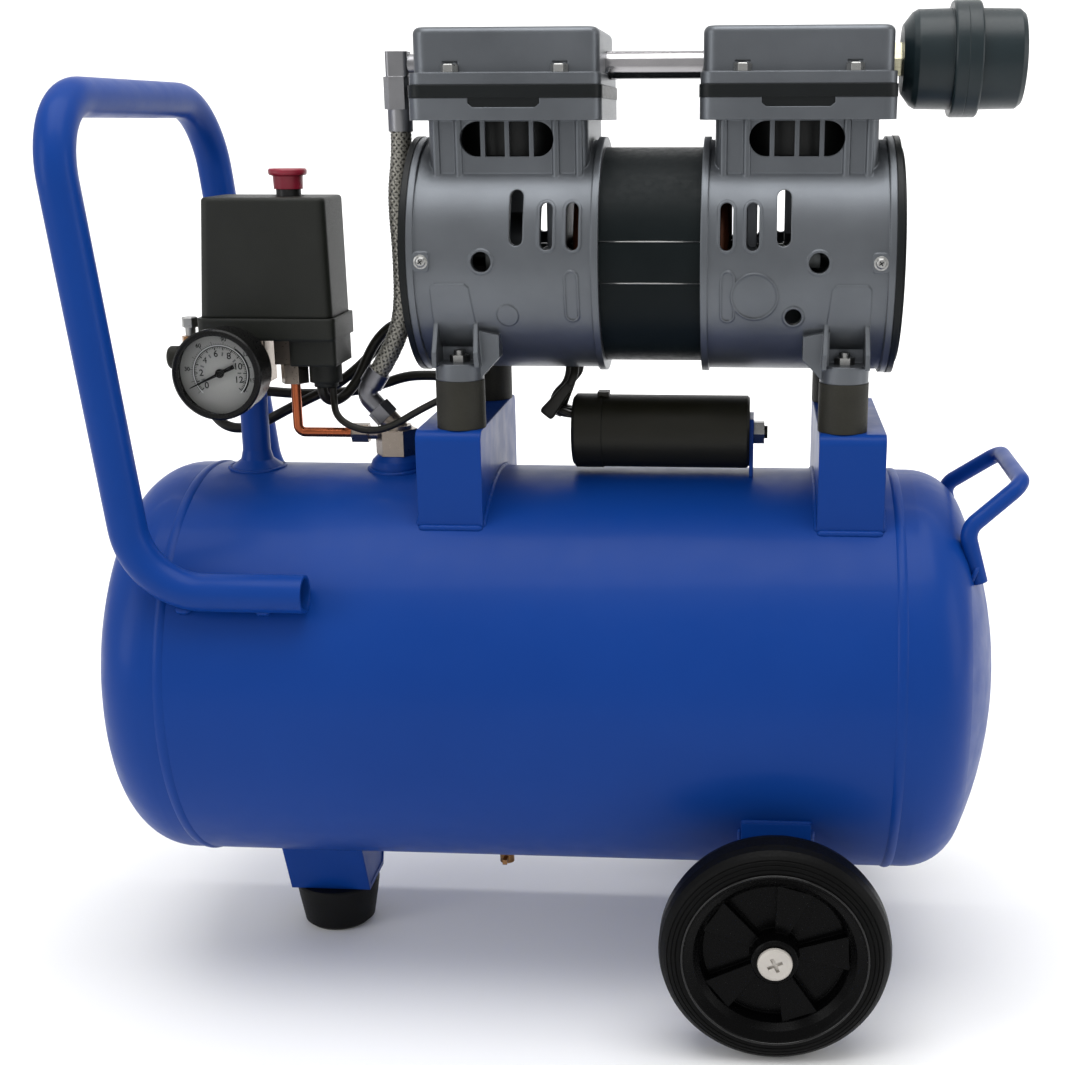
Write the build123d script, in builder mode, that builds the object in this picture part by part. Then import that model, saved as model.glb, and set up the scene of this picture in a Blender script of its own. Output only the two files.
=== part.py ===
"""Horizontal-tank oil-free air compressor, 24 litre class, in millimetres.

Frame: +X runs along the tank towards the wheels, -Y is the gauge side, +Z is up.
The origin is on the ground, under the middle of the machine's bounding box.
"""

from build123d import *
from math import acos, asin, atan2, cos, degrees, pi, radians, sin, sqrt, tan
import os

os.makedirs("parts", exist_ok=True)

# ---------------------------------------------------------------- driving dimensions
TANK_R = 125.0            # outside radius of the air tank
TANK_WALL = 2.5
TANK_X = -6.0             # middle of the tank along X
TANK_Z = 188.0            # tank axis above the ground
TANK_HALF = 277.5         # middle to the tip of a dished end
SEAM_HALF = 213.0         # middle to a seam weld
KNUCKLE_R = 34.0          # torispherical end: knuckle and crown radii
CROWN_R = 250.0

HANDLE_R = 11.0           # bent tube of the big handle
HANDLE_WALL = 1.6
HANDLE_HALF_Y = 113.5
STUB_Z = 263.0            # welded stubs lie this high on the tank's flanks
GRIP_Z = 534.5            # grip bar
HANDLE_SKEW = 10.0        # the back leg stands this much further along +X

BAR_R = 5.0               # round bar of the small rear handle

WHEEL_R = 66.5
WHEEL_X = 138.5
RIM_R = 53.4
TYRE_FACE_Y = 161.0       # outer side of a tyre
TYRE_WIDTH = 32.0
AXLE_R = 5.0
RUNNING = 0.05            # radial running clearance

FOOT_X = -154.5
FOOT_TOP_Z = 30.0

PUMP_X = 61.5             # middle of the pump along X
SHAFT_Z = 444.3           # motor axis above the ground
STATOR_R = 62.1
STATOR_HALF = 28.6
DRUM_R = 66.3             # crankcase drum
RIM_FLANGE_R = 68.1       # flanges at both ends of a drum
DRUM_END = 137.0          # pump middle to a crankcase's outer face
HEAD_A = 81.2             # pump middle to a cylinder's axis
BORE_R = 32.0
SLEEVE_R = 35.0
SLEEVE_BOTTOM_Z = 502.0
CRANK_E = 6.0             # crank offset: 12 mm stroke
ROD_LENGTH = 82.3         # crank pin to piston crown

FLANGE_BOTTOM_Z = 521.6   # levels of the cylinder head stack
FLANGE_TOP_Z = 533.6
PLATE_TOP_Z = 540.4
LEDGE_TOP_Z = 547.0
COVER_TOP_Z = 571.4
HEAD_BOLT_DX = 30.7
HEAD_BOLT_DY = 49.0

BRACKET_TOP_Z = 349.1
BRACKET_A = 116.5         # pump middle to a bracket's middle
BRACKET_WIDTH = 38.3
BRACKET_HALF_Y = 69.0
MOUNT_A = 111.0           # pump middle to a rubber mount
MOUNT_Y = 52.0
MOUNT_R = 14.3
MOUNT_TOP_Z = 377.3
BOSS_TOP_Z = 387.3
LEG_TOP_Z = 433.0         # top of the raised panel above a foot
RIB_TOP_Z = 412.0         # the foot's ribs start here on the drum
LEG_BACK_Y = 38.75
LEG_FACE_Y = 66.25

RISER_X = -190.0          # riser pipe, manifold and gauge share this X
RISER_R = 8.6
MANIFOLD_Z = 380.5
VALVE_X = -100.5          # check valve
COPPER_X = -162.5         # upright run of the unloader tube
COPPER_Z = 335.0          # level run of the unloader tube

SWITCH_X = (-206.6, -132.4)       # sides of the switch cover at its top
SWITCH_FOOT_X = (-212.0, -131.6)  # and at its lip: the cover is drafted, mostly to -X
SWITCH_HALF_Y = 24.0
SWITCH_TOP_Z = 478.5
SWITCH_LIP_Z = 408.0
COVER_WALL = 2.2
SWITCH_BASE_Z = 395.0
KNOB_X = -159.3
KNOB_TRAVEL = 6.0
STEM_Z = 424.0            # levels of the pull knob
COLLAR_Z = 472.2
CAP_Z = 482.6

GAUGE_FACE_Y = -66.0
GAUGE_R = 26.5
GAUGE_Z = 380.2

FILTER_Z = 554.4
CAP_AXIS_Z = 338.0
CAP_R = 22.2
TAB_X = 119.0             # welded tab that holds the capacitor's stud

DRAIN_X = -38.5           # drain valve under the tank
DRAIN_R = 4.0

LEAD_R = 3.2
THIN_LEAD_R = 2.2


# ---------------------------------------------------------------- helpers
def across(x, y=0.0, z=0.0):
    """A plane facing +X: sketch x runs along +Y, sketch y along +Z."""
    return Plane(origin=(x, y, z), x_dir=(0, 1, 0), z_dir=(1, 0, 0))


def facing_front(y, x=0.0, z=0.0):
    """A plane facing -Y: sketch x runs along +X, sketch y along +Z."""
    return Plane(origin=(x, y, z), x_dir=(1, 0, 0), z_dir=(0, -1, 0))


def level(z, x=0.0, y=0.0):
    """A plane facing +Z at height z."""
    return Plane(origin=(x, y, z))


def hexagon(width):
    """Hexagon by its width across flats."""
    return RegularPolygon(radius=width / 2, side_count=6, major_radius=False)


def save(builder, name):
    """Label a finished piece and write its STEP file."""
    builder.part.label = name
    export_step(builder.part, f"parts/{name}.step")


def route_radii(points):
    """Arc radii for a route: 0.45 of the shorter run over the tangent of half the turn."""
    radii = []
    for before, here, after in zip(points, points[1:], points[2:]):
        run_in = Vector(*here) - Vector(*before)
        run_out = Vector(*after) - Vector(*here)
        half_turn = radians(run_in.get_angle(run_out)) / 2
        radii.append(0.45 * min(run_in.length, run_out.length) / tan(half_turn))
    return radii


def tube_along(points, radius, name, radii=None):
    """Round solid along straight runs joined by tangent arcs, with its size printed."""
    arcs = radii or route_radii(points)
    with BuildPart() as tube:
        with BuildLine() as route:
            FilletPolyline(*points, radius=arcs)
        length = route.wires()[0].length
        with BuildSketch(Plane(origin=route.line @ 0, z_dir=route.line % 0)):
            Circle(radius)
        sweep(path=route.line)
    ratio = tube.part.volume / (pi * radius**2 * length)
    print(name, "length", round(length, 1), "volume ratio", round(ratio, 4),
          "radii", [round(r, 1) for r in arcs])
    return tube


# ---------------------------------------------------------------- tank
knuckle_centre_r = TANK_R - KNUCKLE_R
crown_back = sqrt((CROWN_R - KNUCKLE_R) ** 2 - knuckle_centre_r**2)
dish_depth = CROWN_R - crown_back
dish_angle = degrees(atan2(knuckle_centre_r, crown_back))
straight = TANK_HALF - dish_depth - SEAM_HALF
wall_crown_r = CROWN_R - TANK_WALL
wall_knuckle_r = KNUCKLE_R - TANK_WALL

with BuildPart() as tank_barrel:
    with BuildSketch(across(TANK_X, 0, TANK_Z)):
        Circle(TANK_R)
        Circle(TANK_R - TANK_WALL, mode=Mode.SUBTRACT)
    extrude(amount=SEAM_HALF, both=True)
    with BuildSketch(level(TANK_Z, RISER_X)):
        Circle(RISER_R)
    extrude(amount=TANK_R + 5, mode=Mode.SUBTRACT)
    with BuildSketch(level(TANK_Z, VALVE_X)):
        Circle(7.0)
    extrude(amount=TANK_R + 5, mode=Mode.SUBTRACT)
    with BuildSketch(level(TANK_Z, DRAIN_X)):
        Circle(5.0)
    extrude(amount=-TANK_R - 5, mode=Mode.SUBTRACT)
save(tank_barrel, "tank_barrel")

with BuildPart() as tank_ends:
    with BuildSketch(Plane.XZ):
        with BuildLine():
            Line((-straight, TANK_R), (0, TANK_R))
            CenterArc((0, knuckle_centre_r), KNUCKLE_R, 90, dish_angle - 90)
            CenterArc((-crown_back, 0), CROWN_R, dish_angle, -dish_angle)
            Line((dish_depth, 0), (dish_depth - TANK_WALL, 0))
            CenterArc((-crown_back, 0), wall_crown_r, 0, dish_angle)
            CenterArc((0, knuckle_centre_r), wall_knuckle_r, dish_angle, 90 - dish_angle)
            Line((0, TANK_R - TANK_WALL), (-straight, TANK_R - TANK_WALL))
            Line((-straight, TANK_R - TANK_WALL), (-straight, TANK_R))
        make_face()
    revolve(axis=Axis.X)
right_end = tank_ends.part.moved(Location((TANK_X + SEAM_HALF + straight, 0, TANK_Z)))
left_end = right_end.mirror(Plane.YZ.offset(TANK_X))
with BuildPart() as tank_ends:
    add(right_end)
    add(left_end)
save(tank_ends, "tank_ends")

tank_top_z = TANK_Z + TANK_R
with BuildPart() as tank_fittings:
    # riser pipe with its flared weld at the foot
    with BuildSketch(level(tank_top_z - 6, RISER_X)):
        Circle(RISER_R)
    extrude(amount=60)
    with BuildSketch(Plane.XZ):
        with BuildLine():
            Polyline((RISER_X, tank_top_z - 3), (RISER_X + 17, tank_top_z - 3),
                     (RISER_X + 16, tank_top_z + 0.6), (RISER_X + RISER_R + 1.5, tank_top_z + 5),
                     (RISER_X + RISER_R, tank_top_z + 11), (RISER_X, tank_top_z + 11), close=True)
        make_face()
    revolve(axis=Axis((RISER_X, 0, 0), (0, 0, 1)))
    with BuildSketch(level(tank_top_z - 6, RISER_X)):
        Circle(6.0)
    extrude(amount=60, mode=Mode.SUBTRACT)
    # domed boss under the check valve
    with BuildSketch(Plane.XZ):
        with BuildLine():
            Polyline((VALVE_X, tank_top_z - 4), (VALVE_X + 17.2, tank_top_z - 4),
                     (VALVE_X + 17, tank_top_z + 2), (VALVE_X + 15.6, tank_top_z + 5.6),
                     (VALVE_X + 12.8, tank_top_z + 8.4), (VALVE_X + 12, tank_top_z + 9),
                     (VALVE_X, tank_top_z + 9), close=True)
        make_face()
    revolve(axis=Axis((VALVE_X, 0, 0), (0, 0, 1)))
    with BuildSketch(level(tank_top_z - 6, VALVE_X)):
        Circle(7.0)
    extrude(amount=16, mode=Mode.SUBTRACT)
    # drain boss under the tank
    with BuildSketch(level(56, DRAIN_X)):
        Circle(9.0)
        Circle(DRAIN_R + RUNNING, mode=Mode.SUBTRACT)
    extrude(amount=10)
    # tab for the capacitor's stud
    with BuildSketch(across(TAB_X, 0, (tank_top_z + 345) / 2)):
        Rectangle(26, 345 - tank_top_z + 6)
    extrude(amount=2.5)
    with BuildSketch(across(TAB_X, 0, CAP_AXIS_Z)):
        Circle(4.2)
    extrude(amount=2.5, mode=Mode.SUBTRACT)
    # everything is trimmed to the outside of the barrel
    add(tank_barrel.part, mode=Mode.SUBTRACT)
    with BuildSketch(across(TANK_X, 0, TANK_Z)):
        Circle(TANK_R - TANK_WALL)
    extrude(amount=SEAM_HALF, both=True, mode=Mode.SUBTRACT)
save(tank_fittings, "tank_fittings")

# ---------------------------------------------------------------- handles
leg_lean = 0.105          # legs lean to -X by this much per unit of height
stub_end_x = -131.5
bend_x = -227.6
grip_x = bend_x - leg_lean * (GRIP_Z - STUB_Z)
handle_points = [
    (stub_end_x, -HANDLE_HALF_Y, STUB_Z),
    (bend_x, -HANDLE_HALF_Y, STUB_Z),
    (grip_x, -HANDLE_HALF_Y, GRIP_Z),
    (grip_x + HANDLE_SKEW, HANDLE_HALF_Y, GRIP_Z),
    (bend_x + HANDLE_SKEW, HANDLE_HALF_Y, STUB_Z),
    (stub_end_x + HANDLE_SKEW, HANDLE_HALF_Y, STUB_Z),
]
with BuildPart() as handle_tube:
    with BuildLine() as handle_route:
        FilletPolyline(*handle_points, radius=[42, 45, 45, 42])
    with BuildSketch(Plane(origin=handle_route.line @ 0, z_dir=handle_route.line % 0)):
        Circle(HANDLE_R)
        Circle(HANDLE_R - HANDLE_WALL, mode=Mode.SUBTRACT)
    sweep(path=handle_route.line)
save(handle_tube, "handle_tube")

rear_bar = tube_along(
    [(254.3, -62, 262), (245.6, -60, 293), (278.5, -46, 318),
     (278.5, 46, 318), (245.6, 60, 293), (254.3, 62, 262)],
    BAR_R, "rear_handle", radii=[11, 13, 13, 11])
with BuildPart() as rear_handle:
    add(rear_bar.part)
    add(tank_ends.part, mode=Mode.SUBTRACT)
save(rear_handle, "rear_handle")

# ---------------------------------------------------------------- front foot
with BuildPart() as foot_bracket:
    with BuildSketch(across(FOOT_X, 0, 0)):
        with BuildLine():
            Polyline((-37, 71), (-19.5, FOOT_TOP_Z), (19.5, FOOT_TOP_Z), (37, 71),
                     (33.7, 71), (17.6, FOOT_TOP_Z + 3), (-17.6, FOOT_TOP_Z + 3),
                     (-33.7, 71), close=True)
        make_face()
    extrude(amount=26.5, both=True)
    with BuildSketch(level(FOOT_TOP_Z, FOOT_X)):
        Circle(4.2)
    extrude(amount=3, mode=Mode.SUBTRACT)
    with BuildSketch(across(TANK_X, 0, TANK_Z)):
        Circle(TANK_R)
    extrude(amount=SEAM_HALF, both=True, mode=Mode.SUBTRACT)
save(foot_bracket, "foot_bracket")

with BuildPart() as rubber_foot:
    with BuildSketch(Plane.XZ):
        with BuildLine():
            Polyline((FOOT_X + 4.2, 12), (FOOT_X + 9, 12), (FOOT_X + 9, 0), (FOOT_X + 20.5, 0),
                     (FOOT_X + 23.3, 2.5), (FOOT_X + 26.2, 19), (FOOT_X + 27.6, 28.5),
                     (FOOT_X + 26.5, FOOT_TOP_Z), (FOOT_X + 4.2, FOOT_TOP_Z), close=True)
        make_face()
    revolve(axis=Axis((FOOT_X, 0, 0), (0, 0, 1)))
save(rubber_foot, "rubber_foot")

# ---------------------------------------------------------------- wheels
with BuildPart() as wheel_brackets:
    for side in (-1, 1):
        with BuildSketch(facing_front(side * 92, WHEEL_X, 87.5)):
            Rectangle(41, 81)
        extrude(amount=20, both=True)
        with BuildSketch(facing_front(side * 89, WHEEL_X, 86)):
            Rectangle(35, 90)
        extrude(amount=20, both=True, mode=Mode.SUBTRACT)
        with BuildSketch(facing_front(side * 92, WHEEL_X, WHEEL_R)):
            Circle(5.1)
        extrude(amount=25, both=True, mode=Mode.SUBTRACT)
        with BuildSketch(across(WHEEL_X, side * 72, 47)):
            with BuildLine():
                Polyline((0, -1), (side * 30, -1), (0, 26), close=True)
            make_face()
        extrude(amount=21, both=True, mode=Mode.SUBTRACT)
    with BuildSketch(across(TANK_X, 0, TANK_Z)):
        Circle(TANK_R)
    extrude(amount=SEAM_HALF, both=True, mode=Mode.SUBTRACT)
save(wheel_brackets, "wheel_brackets")


def wheel_axis(side):
    """Axis of a wheel, from the tank outwards."""
    return Axis((WHEEL_X, 0, WHEEL_R), (0, side, 0))


def wheel_plane():
    """Plane through a wheel's axis: sketch x is Y, sketch y is the radius."""
    return Plane(origin=(WHEEL_X, 0, WHEEL_R), x_dir=(0, 1, 0), z_dir=(1, 0, 0))


def wheel_tyre(side):
    """Solid rubber tyre with rounded shoulders and a grooved side wall."""
    outer = side * TYRE_FACE_Y
    inner = side * (TYRE_FACE_Y - TYRE_WIDTH)
    with BuildPart() as tyre:
        with BuildSketch(wheel_plane()):
            with BuildLine():
                Polyline((outer, RIM_R), (outer, 55.8), (outer - side * 0.7, 56.2), (outer, 56.6),
                         (outer - side * 0.4, 58.2), (outer - side * 1.2, 58.6),
                         (outer - side * 0.6, 59.0), (outer - side * 1.3, 60.6),
                         (outer - side * 2.1, 61.0), (outer - side * 1.6, 61.4),
                         (outer - side * 3.2, WHEEL_R - 3.4), (outer - side * 6, WHEEL_R - 1.2),
                         (outer - side * 11, WHEEL_R),
                         (inner + side * 11, WHEEL_R), (inner + side * 6, WHEEL_R - 1.2),
                         (inner + side * 2.5, WHEEL_R - 4), (inner, RIM_R + 4), (inner, RIM_R),
                         close=True)
            make_face()
        revolve(axis=wheel_axis(1))
    return tyre


def wheel_hub(side):
    """Moulded hub: slanting rim, deep web, five wedge spokes and a bored boss."""
    outer = side * (TYRE_FACE_Y + 0.8)
    web = side * 146.0
    with BuildPart() as hub:
        with BuildSketch(wheel_plane()):
            with BuildLine():
                Polyline((side * 163.5, AXLE_R + RUNNING), (side * 163.5, 12.4),
                         (side * 162.5, 13.5), (web + side * 3, 14.5), (web + side * 2, 41),
                         (outer - side * 7, 43), (outer - side * 3, 46.5),
                         (outer - side * 0.6, 50.4), (outer, 51.2), (outer, RIM_R),
                         (side * 129.4, RIM_R), (side * 129.4, 46), (web - side * 2, 43),
                         (web - side * 2, 14.5), (side * 124, 13.5), (side * 124, AXLE_R + RUNNING),
                         close=True)
            make_face()
        revolve(axis=wheel_axis(1))
        with BuildSketch(facing_front(web, WHEEL_X, WHEEL_R)):
            with PolarLocations(0, 5, start_angle=3):
                Polygon((12, -3.2), (42, -10.6), (42, 10.6), (12, 3.2), align=None)
        extrude(amount=-side * 8)
    return hub


for wheel_name, wheel_side in (("front_wheel", -1), ("rear_wheel", 1)):
    save(wheel_hub(wheel_side), wheel_name + "_hub")
    save(wheel_tyre(wheel_side), wheel_name + "_tyre")

with BuildPart() as axle_bolts:
    for side in (-1, 1):
        with BuildSketch(wheel_plane()):
            with BuildLine():
                Polyline((side * 101, 0), (side * 101, AXLE_R), (side * 112, AXLE_R),
                         (side * 112, 8), (side * 123.7, 8), (side * 123.7, AXLE_R),
                         (side * 163.8, AXLE_R), (side * 163.8, 9.4), (side * 164.3, 10),
                         (side * 165.9, 9.7), (side * 166.5, 8.6), (side * 166.5, 0), close=True)
            make_face()
        revolve(axis=wheel_axis(1))
        with BuildSketch(facing_front(side * 101, WHEEL_X, WHEEL_R)):
            hexagon(17)
        extrude(amount=-side * 8)
        with BuildSketch(facing_front(side * 166.5, WHEEL_X, WHEEL_R)):
            with Locations(Location((0, 0, 0), (0, 0, 25))):
                Rectangle(9, 2)
                Rectangle(2, 9)
        extrude(amount=side * 1.8, mode=Mode.SUBTRACT)
save(axle_bolts, "axle_bolts")

# ---------------------------------------------------------------- drain valve
with BuildPart() as drain_valve:
    with BuildSketch(level(50, DRAIN_X)):
        Circle(DRAIN_R)
    extrude(amount=15)
    with BuildSketch(level(52, DRAIN_X)):
        hexagon(13)
    extrude(amount=3.7)
    with BuildSketch(level(45, DRAIN_X)):
        Circle(4.8)
    extrude(amount=7)
    with BuildSketch(level(47, DRAIN_X)):
        Rectangle(3, 22)
    extrude(amount=3.4)
save(drain_valve, "drain_valve")

# ---------------------------------------------------------------- pump brackets and mounts
with BuildPart() as pump_brackets:
    for side in (-1, 1):
        x = PUMP_X + side * BRACKET_A
        with BuildSketch(across(x, 0, 0)):
            with BuildLine():
                FilletPolyline((-BRACKET_HALF_Y, 285), (-BRACKET_HALF_Y, BRACKET_TOP_Z),
                               (BRACKET_HALF_Y, BRACKET_TOP_Z), (BRACKET_HALF_Y, 285),
                               radius=6)
                Line((BRACKET_HALF_Y, 285), (-BRACKET_HALF_Y, 285))
            make_face()
        extrude(amount=BRACKET_WIDTH / 2, both=True)
        with BuildSketch(across(x, 0, (280 + BRACKET_TOP_Z - 3) / 2)):
            Rectangle(2 * BRACKET_HALF_Y - 6, BRACKET_TOP_Z - 3 - 280)
        extrude(amount=BRACKET_WIDTH / 2 - 3, both=True, mode=Mode.SUBTRACT)
        with BuildSketch(level(BRACKET_TOP_Z - 3, PUMP_X + side * MOUNT_A)):
            with Locations((0, -MOUNT_Y), (0, MOUNT_Y)):
                Circle(3.3)
        extrude(amount=3, mode=Mode.SUBTRACT)
    with BuildSketch(across(TANK_X, 0, TANK_Z)):
        Circle(TANK_R)
    extrude(amount=SEAM_HALF, both=True, mode=Mode.SUBTRACT)
save(pump_brackets, "pump_brackets")

mount_spots = [(PUMP_X + sx * MOUNT_A, sy * MOUNT_Y) for sx in (-1, 1) for sy in (-1, 1)]

with BuildPart() as rubber_mounts:
    with BuildSketch(level(BRACKET_TOP_Z)):
        with Locations(*mount_spots):
            Circle(MOUNT_R)
            Circle(3.0, mode=Mode.SUBTRACT)
    extrude(amount=MOUNT_TOP_Z - BRACKET_TOP_Z)
save(rubber_mounts, "rubber_mounts")

with BuildPart() as mount_bolts:
    # studs through bracket, rubber and casting, with a nut at each end
    with BuildSketch(level(338)):
        with Locations(*mount_spots):
            Circle(3.0)
    extrude(amount=56)
    with BuildSketch(level(341)):
        with Locations(*mount_spots):
            hexagon(10)
    extrude(amount=BRACKET_TOP_Z - 3 - 341)
    with BuildSketch(level(BOSS_TOP_Z)):
        with Locations(*mount_spots):
            hexagon(10)
    extrude(amount=4)
    # foot bolt, its head sunk into the rubber foot
    with BuildSketch(level(6, FOOT_X)):
        hexagon(13)
    extrude(amount=6)
    with BuildSketch(level(6, FOOT_X)):
        Circle(4.0)
    extrude(amount=38)
    with BuildSketch(level(FOOT_TOP_Z + 3, FOOT_X)):
        hexagon(13)
    extrude(amount=6.5)
    # nut on the capacitor's stud
    with BuildSketch(across(TAB_X + 2.5, 0, CAP_AXIS_Z)):
        hexagon(13)
        Circle(3.9, mode=Mode.SUBTRACT)
    extrude(amount=6.5)
save(mount_bolts, "mount_bolts")


# ---------------------------------------------------------------- crankcases
def vent_slot(case_side, a, z_low, z_high, width):
    """Outline of an upright slot at distance a from the pump's middle."""
    with Locations((case_side * a, (z_low + z_high) / 2)):
        SlotOverall(z_high - z_low, width, rotation=90)


def crankcase(side):
    """Die-cast crankcase: drum, cylinder block, head flange and two feet."""
    with BuildPart() as rims:
        # raised rims round the vents, wrapped on the drum
        for face in (-1, 1):
            with BuildSketch(facing_front(0, PUMP_X, SHAFT_Z)):
                vent_slot(side, 57.6, 5.8, 34.6, 10.4)
                vent_slot(side, 43.0, 5.8, 34.6, 10.4)
                with Locations((side * 94.5, 1)):
                    Circle(7.2)
                with Locations((side * 81, -29.5)):
                    Circle(6.2)
                # outline of a closed slot, and a round one on the right case only
                vent_slot(side, 43.9, -33.2, -3.4, 8.6)
                with Locations((side * 43.9, -18.3)):
                    SlotOverall(27.4, 6.2, rotation=90, mode=Mode.SUBTRACT)
                if side > 0:
                    with Locations((59, -18)):
                        Circle(13.5)
                        Circle(12.3, mode=Mode.SUBTRACT)
                # raised panel above each foot
                with Locations((side * MOUNT_A, LEG_TOP_Z - SHAFT_Z)):
                    Polygon((side * 13.2, -50), (side * 13.2, -2.5), (side * 11, 0), (side * -6.4, 0),
                            (side * -8.8, -2.3), (side * -14, -50), align=None)
            extrude(amount=-face * 80)
        with BuildSketch(across(PUMP_X, 0, SHAFT_Z)):
            Circle(DRUM_R + 0.8)
        extrude(amount=side * DRUM_END, mode=Mode.INTERSECT)
    with BuildPart() as legs:
        # foot boss on each rubber mount, two ribs and a gusset that join it to the drum
        for face in (-1, 1):
            with BuildSketch(facing_front(face * LEG_BACK_Y, PUMP_X + side * MOUNT_A)):
                Polygon((side * 13.6, BOSS_TOP_Z - 1.5), (side * 13.2, RIB_TOP_Z),
                        (side * -12.2, RIB_TOP_Z), (side * -13.6, BOSS_TOP_Z - 1.5), align=None)
            extrude(amount=-face * (LEG_FACE_Y - LEG_BACK_Y))
            with BuildSketch(facing_front(face * (LEG_BACK_Y + 7), PUMP_X + side * MOUNT_A)):
                Polygon((side * 11, BOSS_TOP_Z - 2), (side * 10.6, RIB_TOP_Z + 1),
                        (side * -9.6, RIB_TOP_Z + 1), (side * -11, BOSS_TOP_Z - 2), align=None)
            extrude(amount=-face * 30, mode=Mode.SUBTRACT)
            # the ribs' front edges slant back into the drum
            with BuildSketch(across(PUMP_X + side * MOUNT_A)):
                Polygon((face * 56, RIB_TOP_Z + 1), (face * 70, RIB_TOP_Z + 1), (face * 70, BOSS_TOP_Z),
                        align=None)
            extrude(amount=20, both=True, mode=Mode.SUBTRACT)
            with BuildSketch(level(MOUNT_TOP_Z, PUMP_X + side * MOUNT_A, face * MOUNT_Y)):
                Circle(MOUNT_R - 0.3)
            extrude(amount=BOSS_TOP_Z - MOUNT_TOP_Z)
            with BuildSketch(facing_front(face * (LEG_BACK_Y + 5), PUMP_X + side * MOUNT_A)):
                with BuildLine():
                    Polyline((side * -9, MOUNT_TOP_Z + 0.8), (side * -12.5, MOUNT_TOP_Z + 0.8),
                             (side * -24, BOSS_TOP_Z + 3), (side * -24, BOSS_TOP_Z + 16),
                             (side * -9, BOSS_TOP_Z + 19), close=True)
                make_face()
            extrude(amount=-face * 13)
    with BuildPart() as case:
        with BuildSketch(across(PUMP_X + side * STATOR_HALF, 0, SHAFT_Z)):
            Circle(DRUM_R)
        extrude(amount=side * (DRUM_END - STATOR_HALF))
        for start in (STATOR_HALF, DRUM_END - 4):
            with BuildSketch(across(PUMP_X + side * start, 0, SHAFT_Z)):
                Circle(RIM_FLANGE_R)
            extrude(amount=side * 4)
        add(rims.part)
        # cylinder block with rounded upright edges
        with BuildSketch(level(SHAFT_Z, PUMP_X + side * HEAD_A)):
            RectangleRounded(91, 90, 8)
        extrude(amount=FLANGE_TOP_Z - SHAFT_Z)
        # upright ribs on the front and back of the block
        with BuildSketch(level(SHAFT_Z + 45, PUMP_X)):
            for a in (40.5, 53.6, 108.8, 121.5):
                with Locations((side * a, -45), (side * a, 45)):
                    Circle(2.2)
        extrude(amount=FLANGE_BOTTOM_Z - SHAFT_Z - 45)
        # head flange with a notch at front and back
        with BuildSketch(level(FLANGE_BOTTOM_Z, PUMP_X + side * HEAD_A)):
            RectangleRounded(108.4, 110, 8)
        extrude(amount=FLANGE_TOP_Z - FLANGE_BOTTOM_Z)
        with BuildSketch(facing_front(0, PUMP_X + side * HEAD_A, FLANGE_TOP_Z)):
            with BuildLine():
                Polyline((-20, 2), (-20, -3), (-17.5, -5), (17.5, -5), (20, -3), (20, 2),
                         close=True)
            make_face()
        extrude(amount=60, both=True, mode=Mode.SUBTRACT)
        with BuildSketch(level(FLANGE_BOTTOM_Z, PUMP_X + side * HEAD_A)):
            RectangleRounded(86, 86, 6)
        extrude(amount=FLANGE_TOP_Z - FLANGE_BOTTOM_Z)
        add(legs.part)
        # tab of the cover screw
        for face in (-1, 1):
            with BuildSketch(facing_front(face * (DRUM_R - 3), PUMP_X + side * 128.5, SHAFT_Z + 1)):
                RectangleRounded(9, 11, 2)
            extrude(amount=-face * 4.6)
        # space for windings, bearing seat, crank chamber
        with BuildSketch(across(PUMP_X + side * STATOR_HALF, 0, SHAFT_Z)):
            Circle(60)
        extrude(amount=side * 23.4, mode=Mode.SUBTRACT)
        with BuildSketch(across(PUMP_X + side * 52, 0, SHAFT_Z)):
            Circle(16)
        extrude(amount=side * 8, mode=Mode.SUBTRACT)
        with BuildSketch(across(PUMP_X + side * 60, 0, SHAFT_Z)):
            Circle(60)
        extrude(amount=side * 77, mode=Mode.SUBTRACT)
        # hollow of the cylinder block, then the seat of the sleeve
        with BuildSketch(level(SHAFT_Z + 50, PUMP_X + side * HEAD_A)):
            RectangleRounded(81, 81, 5)
        extrude(amount=FLANGE_BOTTOM_Z - SHAFT_Z - 50, mode=Mode.SUBTRACT)
        with BuildSketch(level(SHAFT_Z + 50, PUMP_X + side * HEAD_A)):
            Circle(SLEEVE_R)
        extrude(amount=FLANGE_TOP_Z - SHAFT_Z - 50, mode=Mode.SUBTRACT)
        # barred air window at the front and back of the block
        with BuildSketch(facing_front(0, PUMP_X + side * HEAD_A, 511.5)):
            SlotOverall(53, 19)
            for dx in (-13.8, 0, 13.8):
                with Locations((dx, 0)):
                    Rectangle(2.6, 22, mode=Mode.SUBTRACT)
        extrude(amount=50, both=True, mode=Mode.SUBTRACT)
        # vents through the drum wall
        for face in (-1, 1):
            with BuildSketch(facing_front(face * 80, PUMP_X, SHAFT_Z)):
                vent_slot(side, 74.8, 9.8, 39.8, 7.8)
                vent_slot(side, 57.6, 7.4, 33.0, 7.2)
                vent_slot(side, 43.0, 7.4, 33.0, 7.2)
                with Locations((side * 94.5, 1)):
                    Circle(5.7)
                # the left case's lower hole is not cast through
                if side > 0:
                    with Locations((81, -29.5)):
                        Circle(4.7)
            extrude(amount=face * 40, mode=Mode.SUBTRACT)
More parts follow.
